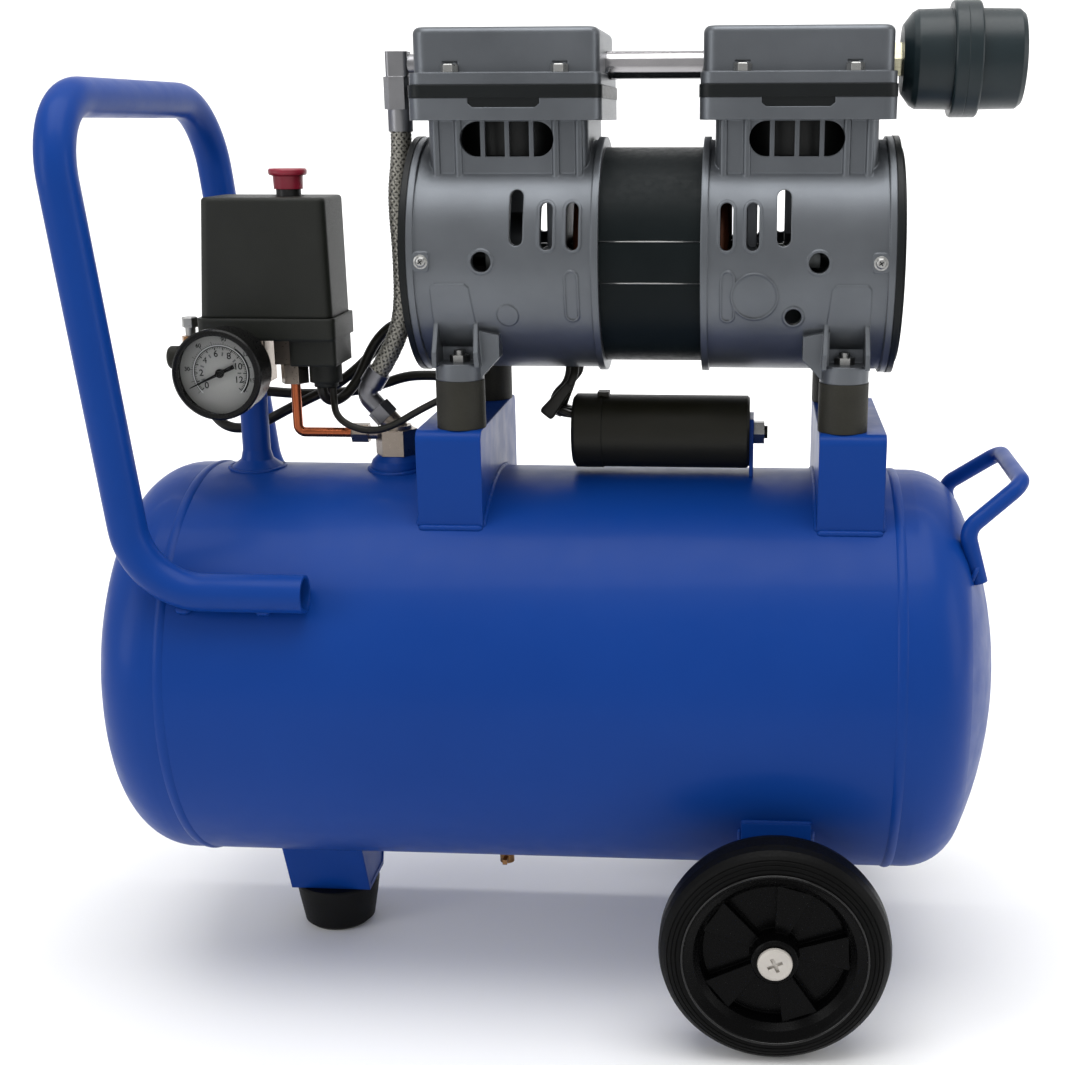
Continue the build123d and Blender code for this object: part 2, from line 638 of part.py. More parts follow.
        # bolt holes of the head, stud holes of the feet
        with BuildSketch(level(FLANGE_BOTTOM_Z, PUMP_X + side * HEAD_A)):
            with GridLocations(2 * HEAD_BOLT_DX, 2 * HEAD_BOLT_DY, 2, 2):
                Circle(3.1)
        extrude(amount=FLANGE_TOP_Z - FLANGE_BOTTOM_Z, mode=Mode.SUBTRACT)
        with BuildSketch(level(MOUNT_TOP_Z, PUMP_X + side * MOUNT_A)):
            with Locations((0, -MOUNT_Y), (0, MOUNT_Y)):
                Circle(3.1)
        extrude(amount=BOSS_TOP_Z - MOUNT_TOP_Z, mode=Mode.SUBTRACT)
    return case


left_crankcase = crankcase(-1)
right_crankcase = crankcase(1)
save(left_crankcase, "left_crankcase")
save(right_crankcase, "right_crankcase")

with BuildPart() as end_covers:
    for side in (-1, 1):
        with BuildSketch(across(PUMP_X + side * DRUM_END, 0, SHAFT_Z)):
            Circle(RIM_FLANGE_R + 0.4)
        extrude(amount=side * 3.5)
        with BuildSketch(across(PUMP_X + side * (DRUM_END + 3.5), 0, SHAFT_Z)):
            Circle(RIM_FLANGE_R - 6)
        extrude(amount=side * 2.0)
        # ring of air slots
        with BuildSketch(across(PUMP_X + side * (DRUM_END + 6), 0, SHAFT_Z)):
            with PolarLocations(0, 12):
                with Locations((40, 0)):
                    SlotOverall(30, 7)
        extrude(amount=-side * 8, mode=Mode.SUBTRACT)
save(end_covers, "end_covers")

# ---------------------------------------------------------------- motor
with BuildPart() as stator_core:
    with BuildSketch(across(PUMP_X, 0, SHAFT_Z)):
        Circle(STATOR_R)
        Circle(33.0, mode=Mode.SUBTRACT)
        with PolarLocations(0, 24):
            with Locations((41, 0)):
                SlotOverall(12, 4, mode=Mode.SUBTRACT)
    extrude(amount=STATOR_HALF, both=True)
save(stator_core, "stator_core")

with BuildPart() as stator_windings:
    for side in (-1, 1):
        with BuildSketch(across(PUMP_X + side * STATOR_HALF, 0, SHAFT_Z)):
            Circle(53)
            Circle(36, mode=Mode.SUBTRACT)
        extrude(amount=side * 16)
        fillet(stator_windings.edges().group_by(Axis.X)[-1 if side > 0 else 0], radius=5)
save(stator_windings, "stator_windings")

with BuildPart() as rotor_core:
    with BuildSketch(across(PUMP_X, 0, SHAFT_Z)):
        Circle(32.4)
        Circle(9, mode=Mode.SUBTRACT)
    extrude(amount=31, both=True)
save(rotor_core, "rotor_core")

with BuildPart() as motor_shaft:
    with BuildSketch(across(PUMP_X, 0, SHAFT_Z)):
        Circle(9)
    extrude(amount=48, both=True)
    with BuildSketch(across(PUMP_X, 0, SHAFT_Z)):
        Circle(7)
    extrude(amount=126, both=True)
save(motor_shaft, "motor_shaft")

with BuildPart() as shaft_bearings:
    for side in (-1, 1):
        with BuildSketch(across(PUMP_X + side * 52, 0, SHAFT_Z)):
            Circle(16)
            Circle(7 + RUNNING, mode=Mode.SUBTRACT)
        extrude(amount=side * 8)
save(shaft_bearings, "shaft_bearings")

with BuildPart() as cooling_fans:
    for side in (-1, 1):
        with BuildSketch(across(PUMP_X + side * 110, 0, SHAFT_Z)):
            Circle(18)
            Circle(7, mode=Mode.SUBTRACT)
        extrude(amount=side * 14)
        with BuildSketch(across(PUMP_X + side * 110, 0, SHAFT_Z)):
            Circle(54)
            Circle(7, mode=Mode.SUBTRACT)
        extrude(amount=side * 2)
        with BuildSketch(across(PUMP_X + side * 112, 0, SHAFT_Z)):
            with PolarLocations(0, 9):
                with Locations((34, 0)):
                    Rectangle(38, 1.8, rotation=18)
        extrude(amount=side * 12)
save(cooling_fans, "cooling_fans")

with BuildPart() as eccentrics:
    for side in (-1, 1):
        up = -side
        near = PUMP_X + side * 75.2
        with BuildSketch(across(near, 0, SHAFT_Z + up * CRANK_E)):
            Circle(14)
        extrude(amount=side * 12)
        with BuildSketch(across(near + side * 12, 0, SHAFT_Z)):
            Circle(40)
            with Locations((0, up * 24)):
                Rectangle(90, 40, mode=Mode.SUBTRACT)
            Circle(14)
        extrude(amount=side * 9)
    with BuildSketch(across(PUMP_X, 0, SHAFT_Z)):
        Circle(7)
    extrude(amount=120, both=True, mode=Mode.SUBTRACT)
save(eccentrics, "eccentrics")


def connecting_rod(side):
    """Rod with a ring round the eccentric and a wobble piston fixed on its top."""
    up = -side
    x = PUMP_X + side * HEAD_A
    pin_z = SHAFT_Z + up * CRANK_E
    crown_z = pin_z + ROD_LENGTH
    with BuildPart() as rod:
        with BuildSketch(across(x, 0, pin_z)):
            Circle(21)
            with Locations((0, (ROD_LENGTH - 8) / 2)):
                Rectangle(17, ROD_LENGTH - 8)
            Circle(14 + RUNNING, mode=Mode.SUBTRACT)
        extrude(amount=5.2, both=True)
        with BuildSketch(level(crown_z - 8, x)):
            Circle(25.3)
        extrude(amount=4)
        with BuildSketch(level(crown_z - 4, x)):
            Circle(10)
        extrude(amount=1)
        with BuildSketch(level(crown_z - 3, x)):
            Circle(24)
        extrude(amount=3)
    return rod


def piston_cup(side):
    """Thin sealing cup clamped in the piston, its lip turned up along the bore."""
    x = PUMP_X + side * HEAD_A
    crown_z = SHAFT_Z - side * CRANK_E + ROD_LENGTH
    with BuildPart() as cup:
        with BuildSketch(level(crown_z - 4, x)):
            Circle(31.7)
            Circle(10, mode=Mode.SUBTRACT)
        extrude(amount=1)
        with BuildSketch(level(crown_z - 3, x)):
            Circle(31.7)
            Circle(30.7, mode=Mode.SUBTRACT)
        extrude(amount=2.6)
    return cup


for rod_name, rod_side in (("left", -1), ("right", 1)):
    save(connecting_rod(rod_side), rod_name + "_connecting_rod")
    save(piston_cup(rod_side), rod_name + "_piston_cup")

with BuildPart() as cylinder_sleeves:
    for side in (-1, 1):
        with BuildSketch(level(SLEEVE_BOTTOM_Z, PUMP_X + side * HEAD_A)):
            Circle(SLEEVE_R)
            Circle(BORE_R, mode=Mode.SUBTRACT)
        extrude(amount=FLANGE_TOP_Z - SLEEVE_BOTTOM_Z)
save(cylinder_sleeves, "cylinder_sleeves")

# ---------------------------------------------------------------- cylinder heads
head_spots = [(PUMP_X - HEAD_A, 0), (PUMP_X + HEAD_A, 0)]
bolt_spots = [(PUMP_X + sx * HEAD_A + bx * HEAD_BOLT_DX, by * HEAD_BOLT_DY)
              for sx in (-1, 1) for bx in (-1, 1) for by in (-1, 1)]
port_spots = [(PUMP_X + sx * HEAD_A, py * 14) for sx in (-1, 1) for py in (-1, 1)]

with BuildPart() as valve_plates:
    with BuildSketch(level(FLANGE_TOP_Z)):
        with Locations(*head_spots):
            RectangleRounded(109, 110.6, 8)
    extrude(amount=PLATE_TOP_Z - FLANGE_TOP_Z)
    # tongues that fill the notches of the head flanges
    for sx in (-1, 1):
        for face in (-1, 1):
            with BuildSketch(facing_front(face * 43, PUMP_X + sx * HEAD_A, FLANGE_TOP_Z)):
                with BuildLine():
                    Polyline((-20, 1), (-20, -3), (-17.5, -5), (17.5, -5), (20, -3), (20, 1),
                             close=True)
                make_face()
            extrude(amount=-face * 11.5)
    with BuildSketch(level(FLANGE_TOP_Z)):
        with Locations(*bolt_spots):
            Circle(3.1)
        with Locations(*port_spots):
            Circle(4)
    extrude(amount=PLATE_TOP_Z - FLANGE_TOP_Z, mode=Mode.SUBTRACT)
save(valve_plates, "valve_plates")

with BuildPart() as reed_valves:
    with BuildSketch(level(PLATE_TOP_Z)):
        with Locations(*port_spots):
            SlotOverall(34, 11)
    extrude(amount=0.5)
save(reed_valves, "reed_valves")

pipe_z = 552.0
head_face_a = HEAD_A - 52.5
with BuildPart() as head_covers:
    with BuildSketch(level(PLATE_TOP_Z)):
        with Locations(*head_spots):
            RectangleRounded(107.6, 109, 8)
    extrude(amount=LEDGE_TOP_Z - PLATE_TOP_Z)
    with BuildSketch(level(LEDGE_TOP_Z)):
        with Locations(*head_spots):
            RectangleRounded(105, 92, 8)
    extrude(amount=COVER_TOP_Z - LEDGE_TOP_Z)
    fillet(head_covers.edges().group_by(Axis.Z)[-1], radius=4)
    # two chambers inside, parted by a wall along X
    with BuildSketch(level(PLATE_TOP_Z)):
        for sx in (-1, 1):
            with Locations((PUMP_X + sx * HEAD_A, 21.5), (PUMP_X + sx * HEAD_A, -21.5)):
                Rectangle(82, 40)
    extrude(amount=COVER_TOP_Z - PLATE_TOP_Z - 5, mode=Mode.SUBTRACT)
    # cross-pipe, discharge and inlet ports
    with BuildSketch(across(PUMP_X, 0, pipe_z)):
        Circle(8)
    extrude(amount=head_face_a + 4, both=True, mode=Mode.SUBTRACT)
    with BuildSketch(across(PUMP_X - HEAD_A - 52.5, 0, pipe_z + 1)):
        Circle(5.9)
    extrude(amount=4, mode=Mode.SUBTRACT)
    with BuildSketch(across(PUMP_X + HEAD_A + 54, 0, FILTER_Z)):
        Circle(7.5)
    extrude(amount=-5.5, mode=Mode.SUBTRACT)
    with BuildSketch(level(PLATE_TOP_Z)):
        with Locations(*bolt_spots):
            Circle(3.1)
    extrude(amount=LEDGE_TOP_Z - PLATE_TOP_Z, mode=Mode.SUBTRACT)
    # pockets in the cover's faces that clear the bolt heads
    with BuildSketch(level(LEDGE_TOP_Z)):
        with Locations(*bolt_spots):
            Circle(5.4)
    extrude(amount=6, mode=Mode.SUBTRACT)
save(head_covers, "head_covers")

with BuildPart() as head_bolts:
    with BuildSketch(level(FLANGE_BOTTOM_Z + 1)):
        with Locations(*bolt_spots):
            Circle(3)
    extrude(amount=LEDGE_TOP_Z - FLANGE_BOTTOM_Z - 1)
    with BuildSketch(level(LEDGE_TOP_Z)):
        with Locations(*bolt_spots):
            hexagon(8.6)
    extrude(amount=4.6)
    chamfer(head_bolts.edges().group_by(Axis.Z)[-1], length=0.6)
save(head_bolts, "head_bolts")

with BuildPart() as head_pipe:
    with BuildSketch(across(PUMP_X, 0, pipe_z)):
        Circle(8)
        Circle(6.5, mode=Mode.SUBTRACT)
    extrude(amount=head_face_a + 4, both=True)
    # stub pipe that carries the air filter
    with BuildSketch(across(PUMP_X + HEAD_A + 48.5, 0, FILTER_Z)):
        Circle(7.5)
        Circle(5, mode=Mode.SUBTRACT)
    extrude(amount=15)
    with BuildSketch(across(PUMP_X + HEAD_A + 54, 0, FILTER_Z)):
        hexagon(18)
        Circle(5, mode=Mode.SUBTRACT)
    extrude(amount=5.5)
save(head_pipe, "head_pipe")

# ---------------------------------------------------------------- air filter
filter_start = PUMP_X + HEAD_A + 59.5
filter_axis = Axis((0, 0, FILTER_Z), (1, 0, 0))
with BuildPart() as filter_housing:
    with BuildSketch(Plane.XZ):
        with BuildLine():
            Polyline((filter_start, FILTER_Z + 7.5), (filter_start, FILTER_Z + 19),
                     (filter_start + 5, FILTER_Z + 25.5), (filter_start + 8, FILTER_Z + 27.2),
                     (229.5, FILTER_Z + 27.6), (229.5, FILTER_Z + 31.2), (230.5, FILTER_Z + 31.9),
                     (237, FILTER_Z + 31.9), (237, FILTER_Z + 25), (filter_start + 9, FILTER_Z + 24.5),
                     (filter_start + 3, FILTER_Z + 18), (filter_start + 3, FILTER_Z + 7.5),
                     close=True)
        make_face()
    revolve(axis=filter_axis)
save(filter_housing, "filter_housing")

with BuildPart() as filter_cap:
    with BuildSketch(Plane.XZ):
        with BuildLine():
            Polyline((237, FILTER_Z + 25), (237, FILTER_Z + 31.9), (244, FILTER_Z + 31.9),
                     (245, FILTER_Z + 31.2), (245, FILTER_Z + 27.6), (267, FILTER_Z + 27.2),
                     (269.8, FILTER_Z + 25), (270.4, FILTER_Z + 22), (270.4, FILTER_Z),
                     (267.4, FILTER_Z), (267.4, FILTER_Z + 22), (265, FILTER_Z + 24.6),
                     close=True)
        make_face()
    revolve(axis=filter_axis)
save(filter_cap, "filter_cap")

with BuildPart() as filter_element:
    with BuildSketch(across(210, 0, FILTER_Z)):
        Circle(22)
        Circle(11, mode=Mode.SUBTRACT)
    extrude(amount=56)
save(filter_element, "filter_element")

# ---------------------------------------------------------------- discharge line
hose_x = -89.5
elbow_z = pipe_z + 1
nut_direction = Vector(0.669, 0, -0.743)
hose_points = [(hose_x, 0, 515.4), (hose_x, 0, 503), (-93.4, 0, 478), (-91.6, 0, 444),
               (-92.4, 0, 408), (-100.5, 0, 387), (-109.5, 0, 373.5)]
hose_end = Vector(*hose_points[-1])
hose_arrival = (hose_end - Vector(*hose_points[-2])).normalized()

with BuildPart() as hose_fittings:
    # upper elbow: stub into the head, block, nut and ferrule
    with BuildSketch(across(PUMP_X - HEAD_A - 52.5 + 4, 0, elbow_z)):
        Circle(5.9)
    extrude(amount=hose_x - (PUMP_X - HEAD_A - 48.5))
    with BuildSketch(level(546.3, hose_x)):
        RectangleRounded(13, 15, 2.5)
    extrude(amount=14)
    with BuildSketch(level(528, hose_x)):
        hexagon(16)
    extrude(amount=18.3)
    with BuildSketch(level(515.4, hose_x)):
        Circle(7.3)
    extrude(amount=12.6)
    # lower ferrule and elbow that turns down to the check valve
    with BuildLine() as elbow_route:
        FilletPolyline(hose_end, hose_end + hose_arrival * 17,
                       hose_end + hose_arrival * 17 + nut_direction * 20, radius=7)
    with BuildSketch(Plane(origin=elbow_route.line @ 0, z_dir=elbow_route.line % 0)):
        Circle(6.2)
    sweep(path=elbow_route.line)
    with BuildSketch(Plane(origin=hose_end, z_dir=hose_arrival)):
        Circle(7.3)
    extrude(amount=10)
    with BuildSketch(Plane(origin=elbow_route.line @ 1, z_dir=nut_direction)):
        hexagon(14)
    extrude(amount=-9)
save(hose_fittings, "hose_fittings")
swivel_end = elbow_route.line @ 1

discharge_hose = tube_along(hose_points, 6.2, "discharge_hose")
save(discharge_hose, "discharge_hose")

with BuildPart() as check_valve_body:
    with BuildSketch(level(322, VALVE_X)):
        hexagon(23)
    extrude(amount=16)
    with BuildSketch(level(338, VALVE_X)):
        Circle(9.5)
    extrude(amount=2.2)
    with BuildSketch(level(308, VALVE_X)):
        Circle(6.9)
    extrude(amount=14)
    # slanting inlet that the hose nut is screwed on
    with BuildSketch(Plane(origin=swivel_end, z_dir=nut_direction)):
        Circle(6.5)
    extrude(amount=13)
    # side port of the unloader tube
    with BuildSketch(across(-117.5, 0, COPPER_Z)):
        Circle(4.0)
    extrude(amount=12)
    # poppet chamber and outlet
    with BuildSketch(level(325, VALVE_X)):
        Circle(7.5)
    extrude(amount=8, mode=Mode.SUBTRACT)
    with BuildSketch(level(308, VALVE_X)):
        Circle(4.5)
    extrude(amount=17, mode=Mode.SUBTRACT)
    with BuildSketch(Plane(origin=swivel_end, z_dir=nut_direction)):
        Circle(3.5)
    extrude(amount=14, mode=Mode.SUBTRACT)
save(check_valve_body, "check_valve_body")

with BuildPart() as check_valve_poppet:
    with BuildSketch(level(325.4, VALVE_X)):
        Circle(6.9)
    extrude(amount=2.2)
    with BuildSketch(level(327.6, VALVE_X)):
        Circle(2.5)
    extrude(amount=2.0)
save(check_valve_poppet, "check_valve_poppet")

# ---------------------------------------------------------------- unloader line
copper_tube = tube_along(
    [(COPPER_X, 0, 366), (COPPER_X, 0, COPPER_Z), (-128, 0, COPPER_Z)],
    3.0, "unloader_tube", radii=[4.5])
save(copper_tube, "unloader_tube")

with BuildPart() as unloader_valve:
    with BuildSketch(level(378, COPPER_X - 4)):
        RectangleRounded(13, 14, 1.5)
    extrude(amount=SWITCH_BASE_Z - 378)
    with BuildSketch(level(366, COPPER_X)):
        hexagon(15)
    extrude(amount=12)
    # nut on the check valve's side port
    with BuildSketch(across(-128, 0, COPPER_Z)):
        hexagon(11)
    extrude(amount=10.5)
save(unloader_valve, "unloader_valve")

# ---------------------------------------------------------------- manifold and outlet
with BuildPart() as manifold_block:
    with BuildSketch(level(367, RISER_X)):
        RectangleRounded(26, 25, 2)
    extrude(amount=SWITCH_BASE_Z - 367)
    with BuildSketch(facing_front(0, RISER_X, GAUGE_Z)):
        Circle(5)
    extrude(amount=14, mode=Mode.SUBTRACT)
    with BuildSketch(level(367, RISER_X)):
        Circle(6)
    extrude(amount=22, mode=Mode.SUBTRACT)
save(manifold_block, "manifold_block")

safety_x = -226.4
outlet_z = 381.0
outlet_y = 12.0           # the nipple stands out of its collar from here
nipple_x = RISER_X - 20
with BuildPart() as outlet_valve:
    with BuildSketch(across(RISER_X - 13, 0, outlet_z)):
        Circle(7.0)
    extrude(amount=-31)
    with BuildSketch(across(RISER_X - 16, 0, outlet_z)):
        hexagon(17)
    extrude(amount=-7)
    # boss that carries the safety valve
    with BuildSketch(level(outlet_z, safety_x)):
        Circle(5.5)
    extrude(amount=9.4)
    # hose nipple pointing backwards
    with BuildSketch(facing_front(0, nipple_x, outlet_z)):
        Circle(6.5)
    extrude(amount=-outlet_y)
    with BuildSketch(facing_front(0, nipple_x, outlet_z)):
        Circle(5)
    extrude(amount=-outlet_y - 22)
    with BuildSketch(facing_front(0, nipple_x, outlet_z)):
        Circle(3)
    extrude(amount=-outlet_y - 22, mode=Mode.SUBTRACT)
    # bore of the knob's spindle
    with BuildSketch(across(RISER_X - 44, 0, outlet_z)):
        Circle(2.5 + RUNNING)
    extrude(amount=8, mode=Mode.SUBTRACT)
save(outlet_valve, "outlet_valve")

with BuildPart() as outlet_knob:
    with BuildSketch(across(RISER_X - 44.4, 0, outlet_z)):
        Circle(7.2)
    extrude(amount=-7)
    fillet(outlet_knob.edges().group_by(Axis.X)[0], radius=2.5)
    with BuildSketch(across(RISER_X - 44.4, 0, outlet_z)):
        Circle(2.5)
    extrude(amount=6)
save(outlet_knob, "outlet_knob")

with BuildPart() as safety_valve_body:
    with BuildSketch(level(outlet_z + 9.4, safety_x)):
        hexagon(10)
        Circle(2.0, mode=Mode.SUBTRACT)
    extrude(amount=4)
save(safety_valve_body, "safety_valve_body")

with BuildPart() as safety_valve_pin:
    with BuildSketch(level(outlet_z + 9.8, safety_x)):
        Circle(1.5)
    extrude(amount=8)
    with BuildSketch(level(outlet_z + 13.7, safety_x)):
        Circle(3.2)
    extrude(amount=5.2)
    # pull cap
    with BuildSketch(level(outlet_z + 18.9, safety_x)):
        hexagon(9)
    extrude(amount=6.2)
    chamfer(safety_valve_pin.edges().group_by(Axis.Z)[-1], length=0.7)
save(safety_valve_pin, "safety_valve_pin")

# ---------------------------------------------------------------- pressure switch
def cover_outline(z, sides, grow, corner):
    """Rounded outline between two sides at height z, grown all round."""
    with BuildSketch(level(z, sum(sides) / 2)) as outline:
        RectangleRounded(sides[1] - sides[0] + 2 * grow, 2 * (SWITCH_HALF_Y + grow), corner)
    return outline.sketch


with BuildPart() as switch_base:
    add(cover_outline(SWITCH_BASE_Z, SWITCH_FOOT_X, 1.8, 4.5))
    extrude(amount=SWITCH_LIP_Z - SWITCH_BASE_Z)
    with BuildSketch(level(379, -145.3)):
        RectangleRounded(28.6, 42, 3)
    extrude(amount=SWITCH_BASE_Z - 379)
    # cable gland under the base
    with BuildSketch(level(367, -143)):
        Circle(10)
    extrude(amount=12)
    with BuildSketch(level(364, -143)):
        Circle(7.5)
    extrude(amount=3)
    # guide of the knob's stem
    with BuildSketch(level(SWITCH_LIP_Z, KNOB_X)):
        Circle(9)
    extrude(amount=38)
    with BuildSketch(level(SWITCH_LIP_Z + 8, KNOB_X)):
        Circle(5 + RUNNING)
    extrude(amount=30, mode=Mode.SUBTRACT)
save(switch_base, "switch_base")

with BuildPart() as switch_cover:
    add(cover_outline(SWITCH_LIP_Z, SWITCH_FOOT_X, 0, 5.5))
    add(cover_outline(SWITCH_TOP_Z, SWITCH_X, 0, 5))
    loft()
    fillet(switch_cover.edges().group_by(Axis.Z)[-1], radius=2.2)
    add(cover_outline(SWITCH_LIP_Z, SWITCH_FOOT_X, -COVER_WALL, 3.3))
    add(cover_outline(SWITCH_TOP_Z - COVER_WALL, SWITCH_X, -COVER_WALL, 2.8))
    loft(mode=Mode.SUBTRACT)
    with BuildSketch(level(SWITCH_TOP_Z - 5, KNOB_X)):
        Circle(9.4)
    extrude(amount=6, mode=Mode.SUBTRACT)
save(switch_cover, "switch_cover")

# the stem's guide, its collar, the cap's skirt and the cap's brim, upwards
with BuildPart() as switch_knob:
    with BuildSketch(Plane.XZ):
        with BuildLine():
            Polyline((KNOB_X, STEM_Z), (KNOB_X + 5, STEM_Z), (KNOB_X + 5, COLLAR_Z),
                     (KNOB_X + 7.4, COLLAR_Z), (KNOB_X + 7.4, CAP_Z), (KNOB_X + 8.6, CAP_Z),
                     (KNOB_X + 8.9, CAP_Z + 7.6), (KNOB_X + 11, CAP_Z + 8.2),
                     (KNOB_X + 11.4, CAP_Z + 9.2), (KNOB_X + 11.4, CAP_Z + 11),
                     (KNOB_X + 10.6, CAP_Z + 11.9), (KNOB_X, CAP_Z + 11.9), close=True)
        make_face()
    revolve(axis=Axis((KNOB_X, 0, 0), (0, 0, 1)))
save(switch_knob, "switch_knob")

# ---------------------------------------------------------------- pressure gauge
gauge_axis = Axis((RISER_X, 0, GAUGE_Z), (0, 1, 0))
gauge_plane = Plane(origin=(RISER_X, 0, GAUGE_Z), x_dir=(0, 1, 0), z_dir=(1, 0, 0))
face = GAUGE_FACE_Y
with BuildPart() as gauge_case:
    with BuildSketch(gauge_plane):
        with BuildLine():
            Polyline((face + 0.4, 22.6), (face, 23.4), (face, 25.4), (face + 1.2, GAUGE_R),
                     (face + 7, GAUGE_R), (face + 7.6, 25.3), (face + 26, 25.3),
                     (face + 28, 23.5), (face + 28, 0), (face + 10, 0), (face + 10, 24.2),
                     (face + 1.4, 24.2), (face + 1.4, 22.6), close=True)
        make_face()
    revolve(axis=gauge_axis)
    with BuildSketch(facing_front(face + 28, RISER_X, GAUGE_Z)):
        hexagon(14)
    extrude(amount=-(-12.5 - face - 28))
    with BuildSketch(facing_front(-12.5, RISER_X, GAUGE_Z)):
        Circle(4.9)
    extrude(amount=-8)
    # bore of the pointer's arbor
    with BuildSketch(facing_front(face + 10, RISER_X, GAUGE_Z)):
        Circle(1 + RUNNING)
    extrude(amount=-6, mode=Mode.SUBTRACT)
save(gauge_case, "gauge_case")

with BuildPart() as gauge_dial:
    with BuildSketch(facing_front(face + 10, RISER_X, GAUGE_Z)):
        Circle(24.1)
        Circle(1.6, mode=Mode.SUBTRACT)
    extrude(amount=1.2)
save(gauge_dial, "gauge_dial")

needle_rest = 205.6       # degrees from +X towards +Z: the pointer rests near zero
with BuildPart() as gauge_needle:
    with BuildSketch(facing_front(face + 7.4, RISER_X, GAUGE_Z)):
        with Locations(Location((0, 0, 0), (0, 0, needle_rest))):
            Polygon((-9.5, -1.3), (20.4, -0.25), (20.4, 0.25), (-9.5, 1.3), align=None)
            Circle(2.6)
    extrude(amount=0.8)
    with BuildSketch(facing_front(face + 14.5, RISER_X, GAUGE_Z)):
        Circle(1)
    extrude(amount=7.1)
save(gauge_needle, "gauge_needle")

with BuildPart() as gauge_lens:
    with BuildSketch(facing_front(face + 3.4, RISER_X, GAUGE_Z)):
        Circle(24.1)
    extrude(amount=1.6)
save(gauge_lens, "gauge_lens")

# ---------------------------------------------------------------- capacitor
cap_left = 11.0
with BuildPart() as capacitor:
    with BuildSketch(Plane.XZ):
        with BuildLine():
            Polyline((cap_left, CAP_AXIS_Z), (cap_left, CAP_AXIS_Z + 20.5),
                     (cap_left + 2, CAP_AXIS_Z + CAP_R + 0.5), (cap_left + 18.5, CAP_AXIS_Z + CAP_R + 0.5),
                     (cap_left + 18.5, CAP_AXIS_Z + CAP_R), (TAB_X - 1.5, CAP_AXIS_Z + CAP_R),
                     (TAB_X, CAP_AXIS_Z + CAP_R - 1.5), (TAB_X, CAP_AXIS_Z + 3.9),
                     (TAB_X + 11, CAP_AXIS_Z + 3.9), (TAB_X + 11, CAP_AXIS_Z), close=True)
        make_face()
    revolve(axis=Axis((0, 0, CAP_AXIS_Z), (1, 0, 0)))
    with BuildSketch(level(CAP_AXIS_Z, cap_left + 18.5)):
        Rectangle(7, 10)
    extrude(amount=CAP_R + 2.2)
save(capacitor, "capacitor")

# ---------------------------------------------------------------- leads
base_lead = tube_along(
    [(-46, 26, 380.6), (-46, 26, 371), (-60, 29, 366), (-86, 34, 366), (-101, 36, 365),
     (-118, 36, 359), (-140, 36, 354), (-170, 34, 353), (-200, 32, 356), (-222, 28, 352),
     (-226, 24, 342), (-214, 22, 332), (-196, 23, 334), (-172, 24, 347), (-146, 28, 359),
     (-130, 32, 371), (-116, 36, 386), (-104, 36, 398), (-95, 34, 402), (-81.1, 34, 402)],
    LEAD_R, "base_lead")
motor_lead = tube_along(
    [(-146.5, 2, 363.9), (-146.5, 2, 356), (-139, 12, 352), (-128, 20, 364), (-119, 24, 386),
     (-106, 20, 399), (-96, 16, 401.5), (-81.1, 16, 401.5)],
    LEAD_R, "motor_lead")
front_lead = tube_along(
    [(-138.5, -2, 363.9), (-138.5, -2, 356), (-135, -12, 348), (-126, -18, 342.5),
     (-112, -21, 339.5), (-98, -22, 343), (-80, -25, 354), (-62, -28, 363), (-53, -28, 371),
     (-53, -28, 382.4)],
    THIN_LEAD_R, "front_lead")
capacitor_lead = tube_along(
    [(cap_left - 0.1, 4, 348), (0, 4, 348), (-2, 4, 358), (9, 4, 368), (9, 4, 377.6)],
    LEAD_R, "capacitor_lead")
with BuildPart() as wiring:
    for lead in (base_lead, motor_lead, front_lead, capacitor_lead):
        add(lead.part)
save(wiring, "wiring")
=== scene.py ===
import bmesh
import bpy
import random
from math import atan2, cos, pi, radians, sin, sqrt
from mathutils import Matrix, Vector


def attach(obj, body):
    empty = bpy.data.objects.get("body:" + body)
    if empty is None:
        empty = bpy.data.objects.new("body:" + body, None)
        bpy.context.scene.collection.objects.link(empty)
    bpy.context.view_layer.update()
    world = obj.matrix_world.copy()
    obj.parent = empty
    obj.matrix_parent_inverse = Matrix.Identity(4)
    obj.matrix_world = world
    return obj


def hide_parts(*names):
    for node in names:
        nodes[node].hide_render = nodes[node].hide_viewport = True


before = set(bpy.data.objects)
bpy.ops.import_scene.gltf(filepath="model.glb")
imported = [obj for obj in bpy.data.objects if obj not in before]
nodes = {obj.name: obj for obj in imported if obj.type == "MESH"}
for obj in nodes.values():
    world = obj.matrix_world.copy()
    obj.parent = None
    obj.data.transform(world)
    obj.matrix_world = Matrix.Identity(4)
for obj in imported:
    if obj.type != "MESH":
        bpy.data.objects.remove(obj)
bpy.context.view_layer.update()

MM = 0.001
scene = bpy.context.scene

# places on the part, in millimetres of its frame
TANK_R, TANK_Z = 125.0, 188.0
TANK_SEAMS = (-219.0, 207.0)
PUMP_X, SHAFT_Z = 61.5, 444.3
PUMP_BRACKET = 116.5  # each pump bracket's distance from the pump's middle
STATOR_R = 62.1
COVER_SCREW = 128.5  # each cover screw's distance from the pump's middle
FOOT_LEFT, FOOT_RIGHT = -181.0, -128.0
RISER_X, CHECK_VALVE_X, DRAIN_X = -190.0, -100.5, -38.5
WHEEL_X, WHEEL_Y, WHEEL_Z = 138.5, 161.6, 66.5
WHEEL_BRACKET_LEFT, WHEEL_BRACKET_RIGHT = 117.4, 159.6
KNOB_SPLIT = 482.6  # the red cap sits on the black stem here
PIPE_SPLIT = 195.0  # the chrome pipe meets the filter's plated stub here
DIAL = Vector((-190.0, -57.2, 380.2))

